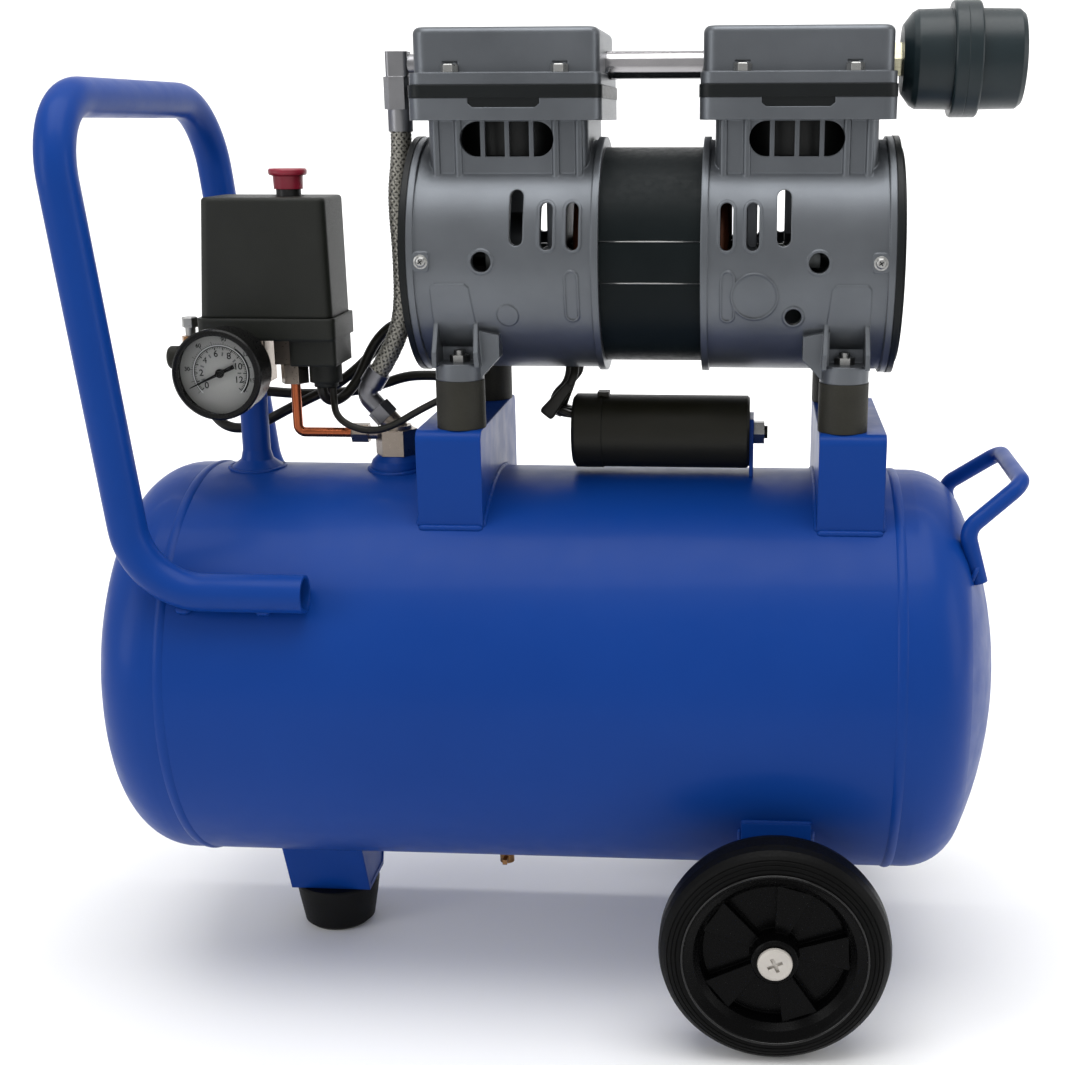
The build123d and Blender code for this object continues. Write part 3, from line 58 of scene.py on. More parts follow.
# ---------------------------------------------------------------- camera
YAW, PITCH, ROLL = radians(4.0), radians(-16.27), radians(0.14)
camera_data = bpy.data.cameras.new("camera")
camera_data.lens = 53.83
camera_data.sensor_width = 36.0
camera_data.shift_x = -0.103
camera_data.shift_y = 0.052
camera_data.clip_start = 0.05
camera_data.clip_end = 30
camera = bpy.data.objects.new("camera", camera_data)
scene.collection.objects.link(camera)
camera.location = (0.1210, -0.9666, 0.5199)
camera.rotation_euler = (radians(90) + PITCH, ROLL, YAW)
scene.camera = camera


# ---------------------------------------------------------------- materials
class Graph:
    """A material's node tree with short calls for the nodes used here."""

    def __init__(self, name):
        self.mat = bpy.data.materials.new(name)
        self.mat.use_nodes = True
        self.tree = self.mat.node_tree
        self.shader = self.tree.nodes["Principled BSDF"]
        self.coords = self.add("ShaderNodeTexCoord").outputs["Object"]

    def add(self, kind, **values):
        """A new node; each value is a property or, with _ for a space, an input."""
        node = self.tree.nodes.new(kind)
        for key, value in values.items():
            if hasattr(node, key):
                setattr(node, key, value)
            else:
                node.inputs[key.replace("_", " ")].default_value = value
        return node

    def link(self, out, into):
        self.tree.links.new(out, into)

    def noise(self, scale, detail=2.0, stretch=None):
        tex = self.add("ShaderNodeTexNoise", Scale=scale, Detail=detail)
        source = self.coords
        if stretch:
            mapping = self.add("ShaderNodeMapping", Scale=stretch)
            self.link(source, mapping.inputs["Vector"])
            source = mapping.outputs["Vector"]
        self.link(source, tex.inputs["Vector"])
        return tex.outputs["Fac"]

    def ramp(self, fac, low, high, start=0.3, end=0.7):
        node = self.add("ShaderNodeValToRGB")
        stops = node.color_ramp.elements
        for stop, place, color in ((stops[0], start, low), (stops[1], end, high)):
            stop.position = place
            stop.color = (*color, 1)
        self.link(fac, node.inputs["Fac"])
        return node.outputs["Color"]

    def spread(self, fac, low, high, start=0.3, end=0.7):
        node = self.add("ShaderNodeMapRange", From_Min=start, From_Max=end, To_Min=low, To_Max=high)
        self.link(fac, node.inputs["Value"])
        return node.outputs["Result"]

    def step(self, axis, start, end, low, high):
        """One colour below start and another above end, along an axis in metres."""
        split = self.add("ShaderNodeSeparateXYZ")
        self.link(self.coords, split.inputs["Vector"])
        share = self.spread(split.outputs[axis], 0.0, 1.0, start, end)
        mix = self.add("ShaderNodeMix", data_type="RGBA")
        # a colour mix has its factor at 0, its colours at 6 and 7, its result at 2
        for source, socket in ((share, 0), (low, 6), (high, 7)):
            self.link(source, mix.inputs[socket])
        return mix.outputs[2]

    def bump(self, height, strength, distance, normal=None):
        node = self.add("ShaderNodeBump", Strength=strength, Distance=distance)
        self.link(height, node.inputs["Height"])
        if normal:
            self.link(normal, node.inputs["Normal"])
        return node.outputs["Normal"]

    def rounded(self, radius):
        node = self.add("ShaderNodeBevel", samples=6, Radius=radius)
        return node.outputs["Normal"]

    def out(self, color, rough, normal=None, **fixed):
        """The finished material; fixed values go on the shader's own sockets."""
        for name, source in (("Base Color", color), ("Roughness", rough), ("Normal", normal)):
            if source is not None:
                self.link(source, self.shader.inputs[name])
        for key, value in fixed.items():
            self.shader.inputs[key.replace("_", " ")].default_value = value
        return self.mat


def tinted(color, factor):
    return tuple(min(1.0, c * factor) for c in color)


def surface(name, color, rough, mottle=(18, 0.06), grain=(900, 0.1, 0.0002), edge=0.0008, **fixed):
    """Mottled colour, uneven gloss and a fine grain, on softly rounded edges.

    mottle is (scale, share of the colour), grain is (scale, strength, depth in metres).
    """
    g = Graph(name)
    patch_scale, share = mottle
    grain_scale, strength, depth = grain
    fine = g.noise(grain_scale, 3)
    base = g.ramp(g.noise(patch_scale, 4), tinted(color, 1 - share), tinted(color, 1 + share))
    soft = g.rounded(edge) if edge else None
    normal = g.bump(fine, strength, depth, soft)
    return g.out(base, g.spread(fine, *rough), normal, **fixed)


def sprayed_paint():
    """Machine enamel, cloudy in tone, with a slight orange peel."""
    g = Graph("blue_enamel")
    peel = g.noise(420, 2)
    base = g.ramp(g.noise(6, 3), (0.0026, 0.0375, 0.2230), (0.0036, 0.0430, 0.2460))
    gloss = g.spread(g.noise(60, 4), 0.34, 0.44)
    normal = g.bump(peel, 0.05, 0.0003, g.rounded(0.0012))
    return g.out(base, gloss, normal, Specular_IOR_Level=0.11,
                 Coat_Weight=0.04, Coat_Roughness=0.12)


def die_cast():
    """Shot-blasted aluminium: fine sparkle and a cloudy tone."""
    g = Graph("die_cast_aluminium")
    fine = g.noise(2600, 2)
    base = g.ramp(g.noise(22, 5), (0.110, 0.119, 0.131), (0.142, 0.153, 0.168))
    gloss = g.spread(fine, 0.28, 0.48)
    normal = g.bump(fine, 0.30, 0.00014, g.rounded(0.0013))
    return g.out(base, gloss, normal, Metallic=0.75)


def laminated_steel():
    """Painted stack of thin sheets: fine rings across the motor's axis."""
    g = Graph("laminated_steel")
    wave = g.add("ShaderNodeTexWave", wave_type="BANDS", bands_direction="X",
                 Scale=620, Distortion=0.4)
    g.link(g.coords, wave.inputs["Vector"])
    base = g.ramp(g.noise(30, 4), (0.0042, 0.0068, 0.0076), (0.0064, 0.0094, 0.0102))
    gloss = g.spread(g.noise(300, 3), 0.36, 0.50)
    normal = g.bump(wave.outputs["Fac"], 0.12, 0.0001, g.rounded(0.0004))
    return g.out(base, gloss, normal, Specular_IOR_Level=0.10)


def drawn_metal(name, color, rough, stretch=(1, 1, 1), change=None):
    """Metal with fine drawing lines; change is (axis, start, end, colour past it)."""
    g = Graph(name)
    lines = g.noise(700, 3, stretch)
    cloud = g.noise(45, 4)
    base = g.ramp(cloud, tinted(color, 0.88), tinted(color, 1.06))
    if change:
        axis, start, end, other = change
        other = g.ramp(cloud, tinted(other, 0.88), tinted(other, 1.06))
        base = g.step(axis, start * MM, end * MM, base, other)
    normal = g.bump(lines, 0.06, 0.0001, g.rounded(0.0005))
    return g.out(base, g.spread(lines, *rough), normal, Metallic=1.0)


def printed_dial():
    """White printed sheet metal, faintly grained, with painted shade darkening it towards the
    bezel.
    """
    g = Graph("dial_sheet_rim_shaded")
    reach = g.add("ShaderNodeVectorMath", operation="DISTANCE")
    reach.inputs[1].default_value = DIAL * MM
    g.link(g.coords, reach.inputs[0])
    # painted shade: the dial darkens from 4 mm to 24 mm off its centre, as under the bezel
    bezel_shade = g.spread(reach.outputs["Value"], 0.0, 1.0, 0.004, 0.024)
    tone = g.ramp(bezel_shade, (0.390, 0.390, 0.372), (0.290, 0.290, 0.278), 0.0, 1.0)
    gloss = g.spread(g.noise(500, 3), 0.42, 0.55)
    return g.out(tone, gloss, g.bump(g.noise(1500, 2), 0.05, 0.0001))


def clear_lens():
    g = Graph("clear_lens")
    gloss = g.spread(g.noise(80, 3), 0.03, 0.07)
    tint = g.ramp(g.noise(30, 2), (0.97, 0.98, 0.98), (1.0, 1.0, 1.0))
    return g.out(tint, gloss, Transmission_Weight=1.0, IOR=1.12)


def braid_steel():
    """Flat strands of a woven sleeve, with a painted highlight along each strand's crown and
    painted shade at its edges.
    """
    g = Graph("braid_wire_painted_shading")
    split = g.add("ShaderNodeSeparateXYZ")
    g.link(g.add("ShaderNodeUVMap").outputs["UV"], split.inputs["Vector"])
    half_turn = g.add("ShaderNodeMath", operation="MULTIPLY")
    half_turn.inputs[1].default_value = pi
    g.link(split.outputs["X"], half_turn.inputs[0])
    crown = g.add("ShaderNodeMath", operation="SINE")
    g.link(half_turn.outputs["Value"], crown.inputs[0])
    # the tone runs from painted shade at a strand's edges to a painted highlight on its crown
    tone = g.ramp(crown.outputs["Value"], (0.020, 0.019, 0.016), (0.285, 0.275, 0.240), 0.20, 0.95)
    gloss = g.spread(g.noise(900, 3), 0.30, 0.44)
    return g.out(tone, gloss, Metallic=0.55)


def knob_red():
    """Red plastic cap on a black stem."""
    g = Graph("knob_red")
    red = g.ramp(g.noise(90, 4), (0.235, 0.008, 0.026), (0.290, 0.012, 0.034))
    black = g.ramp(g.noise(70, 4), (0.006, 0.006, 0.006), (0.009, 0.009, 0.009))
    base = g.step("Z", (KNOB_SPLIT - 0.05) * MM, (KNOB_SPLIT + 0.05) * MM, black, red)
    normal = g.bump(g.noise(900, 2), 0.05, 0.0001, g.rounded(0.0006))
    return g.out(base, g.spread(g.noise(700, 3), 0.32, 0.45), normal)


FINE_GRAIN = (900, 0.05, 0.0001)
DULL_GRAIN = (900, 0.25, 0.0003)
INK_ROUGH, INK_MOTTLE = (0.5, 0.6), (200, 0.2)
MAT = {
    "blue": sprayed_paint(),
    "cast": die_cast(),
    "laminate": laminated_steel(),
    "black_paint": surface(
        "black_enamel", (0.006, 0.0075, 0.008), (0.34, 0.46), (25, 0.15), (500, 0.08, 0.0002),
        Specular_IOR_Level=0.2),
    "gauge_black": surface(
        "gauge_black", (0.004, 0.004, 0.004), (0.24, 0.32), (25, 0.15), (1400, 0.02, 0.00006),
        Specular_IOR_Level=0.18),
    "black_plastic": surface(
        "black_plastic", (0.0094, 0.0090, 0.0050), (0.40, 0.52), (30, 0.12), (1200, 0.2, 0.0002),
        Specular_IOR_Level=0.25),
    "filter_plastic": surface(
        "filter_plastic", (0.0078, 0.0165, 0.0200), (0.30, 0.42), (26, 0.10), (700, 0.10, 0.0002),
        Specular_IOR_Level=0.35),
    "switch_plastic": surface(
        "switch_plastic", (0.0112, 0.0124, 0.0096), (0.42, 0.56), (40, 0.10), (1500, 0.35, 0.00025),
        0.0030, Specular_IOR_Level=0.3),
    "hub_plastic": surface(
        "hub_plastic", (0.0014, 0.0014, 0.0015), (0.22, 0.34), (40, 0.15), (1100, 0.10, 0.0002),
        Specular_IOR_Level=0.07),
    "hub_lip": surface(
        "hub_lip", (0.004, 0.004, 0.004), (0.16, 0.24), (40, 0.15), FINE_GRAIN, 0,
        Specular_IOR_Level=0.35),
    "tyre": surface(
        "tyre_rubber", (0.0022, 0.0022, 0.0022), (0.38, 0.56), (60, 0.25), (800, 0.25, 0.0003),
        Specular_IOR_Level=0.08),
    "rubber": surface(
        "mount_rubber", (0.020, 0.019, 0.013), (0.50, 0.65), (50, 0.2), DULL_GRAIN,
        Specular_IOR_Level=0.3),
    "foot_rubber": surface(
        "foot_rubber", (0.0036, 0.0037, 0.0037), (0.50, 0.65), (50, 0.2), DULL_GRAIN,
        Specular_IOR_Level=0.18),
    "sheath": surface(
        "lead_sheath", (0.0095, 0.0085, 0.0055), (0.36, 0.50), (80, 0.15), (900, 0.12, 0.0002), 0,
        Specular_IOR_Level=0.3),
    "zinc": drawn_metal("zinc_plate", (0.36, 0.36, 0.35), (0.26, 0.40)),
    "fitting": drawn_metal(
        "dull_fitting", (0.21, 0.21, 0.225), (0.28, 0.42),
        change=("Z", 440, 500, (0.27, 0.27, 0.28))),
    # the cylinder sleeves are painted near black, as painted shade deep inside the crankcase window
    "shaded_liner": surface("liner_painted_shade", (0.008, 0.009, 0.009), (0.35, 0.5), Metallic=0.3),
    "screw": surface(
        "screw_head", (0.52, 0.49, 0.45), (0.40, 0.52), (60, 0.05), (900, 0.08, 0.0002), 0.0005,
        Metallic=0.35),
    "steel": drawn_metal("machined_steel", (0.16, 0.17, 0.17), (0.30, 0.42)),
    "chrome": drawn_metal(
        "chrome_tube", (0.44, 0.43, 0.44), (0.10, 0.18), (0.02, 1, 1),
        ("X", PIPE_SPLIT, PIPE_SPLIT + 0.5, (0.40, 0.38, 0.27))),
    "nickel": drawn_metal("plated_brass", (0.30, 0.255, 0.215), (0.26, 0.42)),
    "brass": drawn_metal("brass", (0.30, 0.16, 0.07), (0.26, 0.40)),
    "copper": drawn_metal("copper_tube", (0.46, 0.125, 0.052), (0.24, 0.38), (1, 1, 0.06)),
    "winding": surface(
        "winding", (0.10, 0.030, 0.012), (0.3, 0.45), (60, 0.3), (500, 0.4, 0.0004), 0,
        Metallic=0.6),
    "seal": surface("seal", (0.05, 0.035, 0.025), (0.4, 0.55)),
    "foam": surface("foam", (0.09, 0.09, 0.09), (0.8, 0.95), (120, 0.3), (700, 0.8, 0.001), 0),
    "dial": printed_dial(),
    # dark ink for the dial's print, also used as painted shade in the screw recesses
    "ink_and_recess_shade": surface(
        "dial_ink_and_recess_shade", (0.012, 0.013, 0.014), INK_ROUGH, INK_MOTTLE, FINE_GRAIN, 0,
        Specular_IOR_Level=0.1),
    "faint_ink": surface("faint_ink", (0.12, 0.12, 0.125), INK_ROUGH, INK_MOTTLE, FINE_GRAIN, 0),
    "white_ink": surface("pale_ring", (0.62, 0.63, 0.63), INK_ROUGH, (200, 0.05), FINE_GRAIN, 0),
    "needle": surface(
        "needle_black", (0.006, 0.006, 0.006), (0.35, 0.5), (200, 0.1), FINE_GRAIN, 0.0002,
        Specular_IOR_Level=0.1),
    "lens": clear_lens(),
    "braid": braid_steel(),
    "red": knob_red(),
}

NODE_FINISH = {
    "blue": ["tank_barrel", "tank_ends", "tank_fittings", "handle_tube", "rear_handle",
             "foot_bracket", "wheel_brackets", "pump_brackets"],
    "cast": ["left_crankcase", "right_crankcase", "head_covers",
             "left_connecting_rod", "right_connecting_rod"],
    "laminate": ["stator_core"],
    "black_paint": ["valve_plates", "end_covers"],
    "gauge_black": ["gauge_case"],
    "black_plastic": ["cooling_fans", "outlet_knob", "capacitor"],
    "filter_plastic": ["filter_housing", "filter_cap"],
    "switch_plastic": ["switch_base", "switch_cover"],
    "hub_plastic": ["front_wheel_hub", "rear_wheel_hub"],
    "tyre": ["front_wheel_tyre", "rear_wheel_tyre"],
    "rubber": ["rubber_mounts"],
    "foot_rubber": ["rubber_foot"],
    "sheath": ["wiring"],
    "zinc": ["mount_bolts", "head_bolts", "reed_valves", "safety_valve_pin"],
    "fitting": ["hose_fittings"],
    "screw": ["axle_bolts"],
    "steel": ["rotor_core", "motor_shaft", "shaft_bearings", "eccentrics"],
    "shaded_liner": ["cylinder_sleeves"],
    "chrome": ["head_pipe"],
    "nickel": ["check_valve_body", "unloader_valve", "outlet_valve", "manifold_block"],
    "brass": ["drain_valve", "safety_valve_body"],
    "copper": ["unloader_tube"],
    "winding": ["stator_windings"],
    "seal": ["left_piston_cup", "right_piston_cup", "check_valve_poppet"],
    "foam": ["filter_element"],
    "dial": ["gauge_dial"],
    "needle": ["gauge_needle"],
    "lens": ["gauge_lens"],
    "braid": ["discharge_hose"],
    "red": ["switch_knob"],
}
for finish, names in NODE_FINISH.items():
    for name in names:
        mesh = nodes[name].data
        mesh.materials.clear()
        mesh.materials.append(MAT[finish])


# ---------------------------------------------------------------- mesh helpers
def new_piece(name, verts, faces, finish, body, smooth=True, uvs=None):
    """A mesh piece in millimetres of the part's frame, riding on a body."""
    mesh = bpy.data.meshes.new(name)
    mesh.from_pydata([Vector(v) * MM for v in verts], [], faces)
    mesh.validate()
    if uvs:
        layer = mesh.uv_layers.new(name="UVMap")
        for loop in mesh.loops:
            layer.data[loop.index].uv = uvs[loop.vertex_index]
    bm = bmesh.new()
    bm.from_mesh(mesh)
    bmesh.ops.recalc_face_normals(bm, faces=bm.faces)
    bm.to_mesh(mesh)
    bm.free()
    if smooth:
        mesh.shade_smooth()
    obj = bpy.data.objects.new(name, mesh)
    scene.collection.objects.link(obj)
    mesh.materials.append(MAT[finish])
    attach(obj, body)
    return obj


def frames_along(points, closed=False):
    """Each point of a line with two directions across it that don't twist."""
    pts = [Vector(p) for p in points]
    count = len(pts)
    tangents = []
    for i in range(count):
        before = pts[i - 1] if i or closed else pts[0]
        after = pts[(i + 1) % count] if i < count - 1 or closed else pts[-1]
        tangents.append((after - before).normalized())
    side = tangents[0].orthogonal().normalized()
    frames = []
    for point, tangent in zip(pts, tangents):
        side = (side - tangent * side.dot(tangent)).normalized()
        frames.append((point, side, tangent.cross(side)))
    return frames


def ring_faces(rings, around, closed=False, capped=True):
    """Faces that join rings of vertices into a tube, with flat ends unless it is closed."""
    faces = []
    for i in range(rings if closed else rings - 1):
        a, b = i * around, ((i + 1) % rings) * around
        for k in range(around):
            n = (k + 1) % around
            faces.append((a + k, a + n, b + n, b + k))
    if capped and not closed:
        faces.append(tuple(range(around))[::-1])
        faces.append(tuple((rings - 1) * around + k for k in range(around)))
    return faces


def tube_data(points, radius, around, closed=False):
    """Vertices and faces of a tube; radius may be a function of the station."""
    verts = []
    for i, (point, side, up) in enumerate(frames_along(points, closed)):
        r = radius(i) if callable(radius) else radius
        for k in range(around):
            angle = 2 * pi * k / around
            verts.append(point + (side * cos(angle) + up * sin(angle)) * r)
    return verts, ring_faces(len(verts) // around, around, closed)


def join_data(parts):
    """Several (verts, faces) lists as one."""
    verts, faces = [], []
    for part in parts:
        start = len(verts)
        verts += part[0]
        faces += [tuple(i + start for i in face) for face in part[1]]
    return verts, faces


def smooth_line(points, steps):
    """Points on the smooth spline held by these control points, in millimetres."""
    curve = bpy.data.curves.new("route", "CURVE")
    curve.dimensions = "3D"
    curve.resolution_u = steps
    spline = curve.splines.new("NURBS")
    spline.points.add(len(points) - 1)
    for target, point in zip(spline.points, points):
        target.co = (*point, 1)
    spline.order_u = 3
    spline.use_endpoint_u = True
    holder = bpy.data.objects.new("route", curve)
    scene.collection.objects.link(holder)
    bpy.context.view_layer.update()
    mesh = bpy.data.meshes.new_from_object(holder)
    line = [v.co.copy() for v in mesh.vertices]
    bpy.data.objects.remove(holder)
    bpy.data.curves.remove(curve)
    bpy.data.meshes.remove(mesh)
    return line


def bead(points, radius, closed=False, *, seed):
    """A weld bead: a low tube whose ripples follow one another like laid coins."""
    pitch = 2.2
    rng = random.Random(seed)
    dense = []
    pts = [Vector(p) for p in points]
    spans = len(pts) if closed else len(pts) - 1
    for i in range(spans):
        a, b = pts[i], pts[(i + 1) % len(pts)]
        steps = max(1, int((b - a).length / (pitch / 3)))
        dense += [a.lerp(b, s / steps) for s in range(steps)]
    if not closed:
        dense.append(pts[-1])
    lumps = [rng.uniform(0.92, 1.08) for _ in dense]
    last = len(dense) - 1

    def swell(i):
        ripple = 1 + 0.10 * abs(sin(pi * i / 3))
        taper = 1.0 if closed else min(1.0, 0.35 + 0.3 * i, 0.35 + 0.3 * (last - i))
        return radius * ripple * lumps[i] * taper

    return tube_data(dense, swell, 10, closed)


def ring_points(centre, axis, radius, count):
    """Points on a circle round an axis."""
    centre, axis = Vector(centre), Vector(axis).normalized()
    side = axis.orthogonal().normalized()
    up = axis.cross(side)
    return [centre + (side * cos(2 * pi * i / count) + up * sin(2 * pi * i / count)) * radius
            for i in range(count)]


def turned(profile, origin, axis, around, capped=True):
    """A shape turned round an axis; profile holds (distance along, radius) pairs."""
    origin, axis = Vector(origin), Vector(axis).normalized()
    side = axis.orthogonal().normalized()
    up = axis.cross(side)
    verts = []
    for along, r in profile:
        for k in range(around):
            angle = 2 * pi * k / around
            verts.append(origin + axis * along + (side * cos(angle) + up * sin(angle)) * r)
    return verts, ring_faces(len(profile), around, False, capped)


# ---------------------------------------------------------------- tank welds
def on_tank(x, y):
    """The point of the barrel's upper side above (x, y)."""
    return Vector((x, y, TANK_Z + sqrt(TANK_R**2 - y**2)))


def under_tank(x, y):
    """The point of the barrel's lower side below (x, y)."""
    return Vector((x, y, TANK_Z - sqrt(TANK_R**2 - y**2)))


def seam(x):
    """A machine-laid seam round the barrel: a flat, even crown."""
    verts, faces = [], []
    around = 240
    profile = [(-3.4, -0.4), (-2.6, 0.25), (-1.4, 0.75), (0, 0.95),
               (1.4, 0.75), (2.6, 0.25), (3.4, -0.4)]
    for i in range(around):
        angle = 2 * pi * i / around
        for dx, dr in profile:
            r = TANK_R + dr + 0.06 * sin(9 * angle + dx)
            verts.append(Vector((x + dx, r * cos(angle), TANK_Z + r * sin(angle))))
    count = len(profile)
    for i in range(around):
        a, b = i * count, ((i + 1) % around) * count
        for k in range(count - 1):
            faces.append((a + k, b + k, b + k + 1, a + k + 1))
    return verts, faces


verts, faces = join_data([seam(x) for x in TANK_SEAMS])
new_piece("tank_seams", verts, faces, "blue", "frame")

beads = []
half = 19.4  # of a pump bracket's length along X
for bracket_x in (PUMP_X - PUMP_BRACKET, PUMP_X + PUMP_BRACKET):
    for x in (bracket_x - half, bracket_x + half):
        beads.append(bead([on_tank(x, y) for y in range(-68, 69, 4)], 1.5, seed=int(x) + 500))
    for y in (-69.5, 69.5):
        line = [on_tank(bracket_x + dx, y) for dx in (-19, -9, 0, 9, 19)]
        beads.append(bead(line, 1.9, seed=int(y) + 90))
for x in (FOOT_LEFT, FOOT_RIGHT):
    for y0, y1 in ((-36, -22), (22, 36)):
        line = [under_tank(x, y0 + (y1 - y0) * i / 5) for i in range(6)]
        beads.append(bead(line, 1.3, seed=int(x) + 700 + y0))
for side in (-1, 1):
    line = [under_tank(FOOT_LEFT + (FOOT_RIGHT - FOOT_LEFT) * i / 8, side * 37.4) for i in range(9)]
    beads.append(bead(line, 1.7, seed=31 + side))
    for x in (WHEEL_BRACKET_LEFT, WHEEL_BRACKET_RIGHT):
        line = [under_tank(x, side * y) for y in range(74, 109, 4)]
        beads.append(bead(line, 1.5, seed=int(x) + side))
    line = [under_tank(118 + 41 * i / 8, side * 109.6) for i in range(9)]
    beads.append(bead(line, 1.8, seed=77 + side))
verts, faces = join_data(beads)
new_piece("bracket_welds", verts, faces, "blue", "frame")

# the plate that closes the foot bracket's right end, up to the barrel
verts, faces = [], []
columns = 12
half_low, half_high = 18.0, 32.4
for i in range(columns + 1):
    share = -1 + 2 * i / columns
    for x in (FOOT_RIGHT - 3.0, FOOT_RIGHT - 0.7):
        top = under_tank(x, half_high * share)
        verts += [(x, half_low * share, 32.3), (x, top.y, top.z + 0.8)]
for a in range(0, 4 * columns, 4):
    b = a + 4
    faces += [(a, b, b + 1, a + 1), (a + 2, a + 3, b + 3, b + 2),
              (a, a + 2, b + 2, b), (a + 1, b + 1, b + 3, a + 3)]
end = 4 * columns
faces += [(0, 1, 3, 2), (end, end + 2, end + 3, end + 1)]
new_piece("foot_bracket_end", verts, faces, "blue", "frame", False)

# short tacks hold the handle's stubs, and small fillets the round fittings
tacks = []
stub_angle = atan2(75.0, 113.5)  # up the barrel's flank from the level of its axis
tack_r = TANK_R + 1.2
for side, shift in ((-1, 0.0), (1, 10.0)):
    for x in (-205.0 + shift, -158.0 + shift):
        for above in (-1, 1):
            angle = stub_angle + above * 0.062
            y, z = side * tack_r * cos(angle), TANK_Z + tack_r * sin(angle)
            line = [(x - 4.5, y, z), (x, y, z), (x + 4.5, y, z)]
            tacks.append(bead(line, 2.3, seed=int(x) + above + 300))
for side in (-1, 1):
    foot = ring_points((251.0, side * 62.0, 267.5), (0.78, side * 0.1, -0.3), 5.4, 18)
    tacks.append(bead(foot, 1.3, True, seed=5 + side))
verts, faces = join_data(tacks)
new_piece("handle_welds", verts, faces, "blue", "frame")
rings = []
for surface_point, x, radius, count, thick, seed in (
        (on_tank, RISER_X, 17.0, 40, 1.2, 3),
        (on_tank, CHECK_VALVE_X, 17.2, 36, 1.6, 4),
        (under_tank, DRAIN_X, 9.6, 30, 1.3, 6)):
    angles = [2 * pi * i / count for i in range(count)]
    line = [surface_point(x + radius * cos(a), radius * sin(a)) for a in angles]
    rings.append(bead(line, thick, True, seed=seed))
verts, faces = join_data(rings)
new_piece("fitting_welds", verts, faces, "blue", "frame")

# ---------------------------------------------------------------- pump trim
seams = []
for height in (12.0, -11.0):
    for side in (-1, 1):
        y = side * sqrt(STATOR_R**2 - height**2)
        line = [(PUMP_X + dx, y, SHAFT_Z + height) for dx in (-28.4, 0, 28.4)]
        seams.append(tube_data(line, 0.45, 10))
verts, faces = join_data(seams)
new_piece("stator_seams", verts, faces, "zinc", "frame")

# small pan-head screws with a washer on the four cover tabs; each cross recess is a flat mark in
# dark ink, painted shade standing in for the hole
screws, recess_shades = [], []
for end in (-1, 1):
    for side in (-1, 1):
        x, z, outward = PUMP_X + end * COVER_SCREW, SHAFT_Z + 1.0, (0, side, 0)
        screws.append(turned([(-1.2, 2.9), (0.5, 2.9), (1.2, 2.55), (1.6, 1.6), (1.7, 0.2)],
                             (x, side * 67.9, z), outward, 28))
        screws.append(turned([(-1.0, 4.2), (0.0, 4.2), (0.25, 3.9)],
                             (x, side * 67.75, z), outward, 28))
        # painted shade: two crossed dark strips on each head stand for the recess
        centre = Vector((x, side * 69.62, z))
        for turn in (radians(35), radians(125)):
            along = Vector((cos(turn), 0, sin(turn))) * 1.5
            wide = Vector((-sin(turn), 0, cos(turn))) * 0.28
            recess_shades.append(([centre + along + wide, centre - along + wide,
                           centre - along - wide, centre + along - wide], [(0, 1, 2, 3)]))
verts, faces = join_data(screws)
new_piece("cover_screws", verts, faces, "zinc", "frame")
verts, faces = join_data(recess_shades)
new_piece("screw_recess_shade", verts, faces, "ink_and_recess_shade", "frame", False)


def soft_box(centre, along, wide, sizes, taper=1.0):
    """A flattened, round-edged sleeve lying along one direction."""
    along, wide = Vector(along).normalized(), Vector(wide).normalized()
    thin = along.cross(wide).normalized()
    centre = Vector(centre)
    length, width, thick = sizes
    stations = [(-0.5, 0.80), (-0.46, 0.95), (-0.40, 1.0),
                (0.40, taper), (0.46, taper * 0.92), (0.5, taper * 0.72)]
    around, squareness = 28, 0.55

    def squared(value):
        return abs(value) ** squareness * (1 if value >= 0 else -1)

    verts = []
    for s_along, grow in stations:
        for k in range(around):
            angle = 2 * pi * k / around
            px, py = squared(cos(angle)), squared(sin(angle))
            verts.append(centre + along * length * s_along
                         + wide * width / 2 * px * grow + thin * thick / 2 * py * grow)
    return verts, ring_faces(len(stations), around)


# polished lip moulded round each hub, where the tyre is sprung on
lip = [(0.0, 52.0), (0.55, 52.25), (0.85, 52.7), (0.8, 53.15), (0.3, 53.4), (-0.4, 53.45)]
for side, wheel in ((-1, "front_wheel"), (1, "rear_wheel")):
    verts, faces = turned(lip, (WHEEL_X, side * WHEEL_Y, WHEEL_Z), (0, side, 0), 120, False)
    new_piece(wheel + "_lip", verts, faces, "hub_lip", wheel)

# insulating boots where the leads are pushed on the capacitor's two tabs
boots = [
    soft_box((2.0, -6.0, 358.0), (0.62, 0, 0.78), (0.78, 0, -0.62), (25, 9.5, 6.5), 0.62),
    soft_box((3.5, 10.0, 357.0), (0.45, 0, 0.89), (0.89, 0, -0.45), (24, 9.5, 6.5), 0.62),
    soft_box((7.6, -6.0, 350.0), (1, 0, -0.35), (0, 1, 0), (8, 6.5, 3.0)),
    soft_box((7.6, 10.0, 350.0), (1, 0, -0.35), (0, 1, 0), (8, 6.5, 3.0)),
    tube_data(smooth_line([(9, -6, 367), (12, -6, 372), (12, -2, 377), (12, -2, 382)], 8), 2.6, 14),
    tube_data(smooth_line([(8, 10, 367), (13, 10, 372), (14, 10, 377), (14, 10, 382)], 8), 2.6, 14),
]
verts, faces = join_data(boots)
new_piece("capacitor_boots", verts, faces, "sheath", "frame")

# ---------------------------------------------------------------- braided hose
HOSE_ROUTE = [(-89.5, 0, 515.4), (-89.5, 0, 503), (-93.4, 0, 478), (-91.6, 0, 444),
              (-92.4, 0, 408), (-100.5, 0, 387), (-109.5, 0, 373.5)]


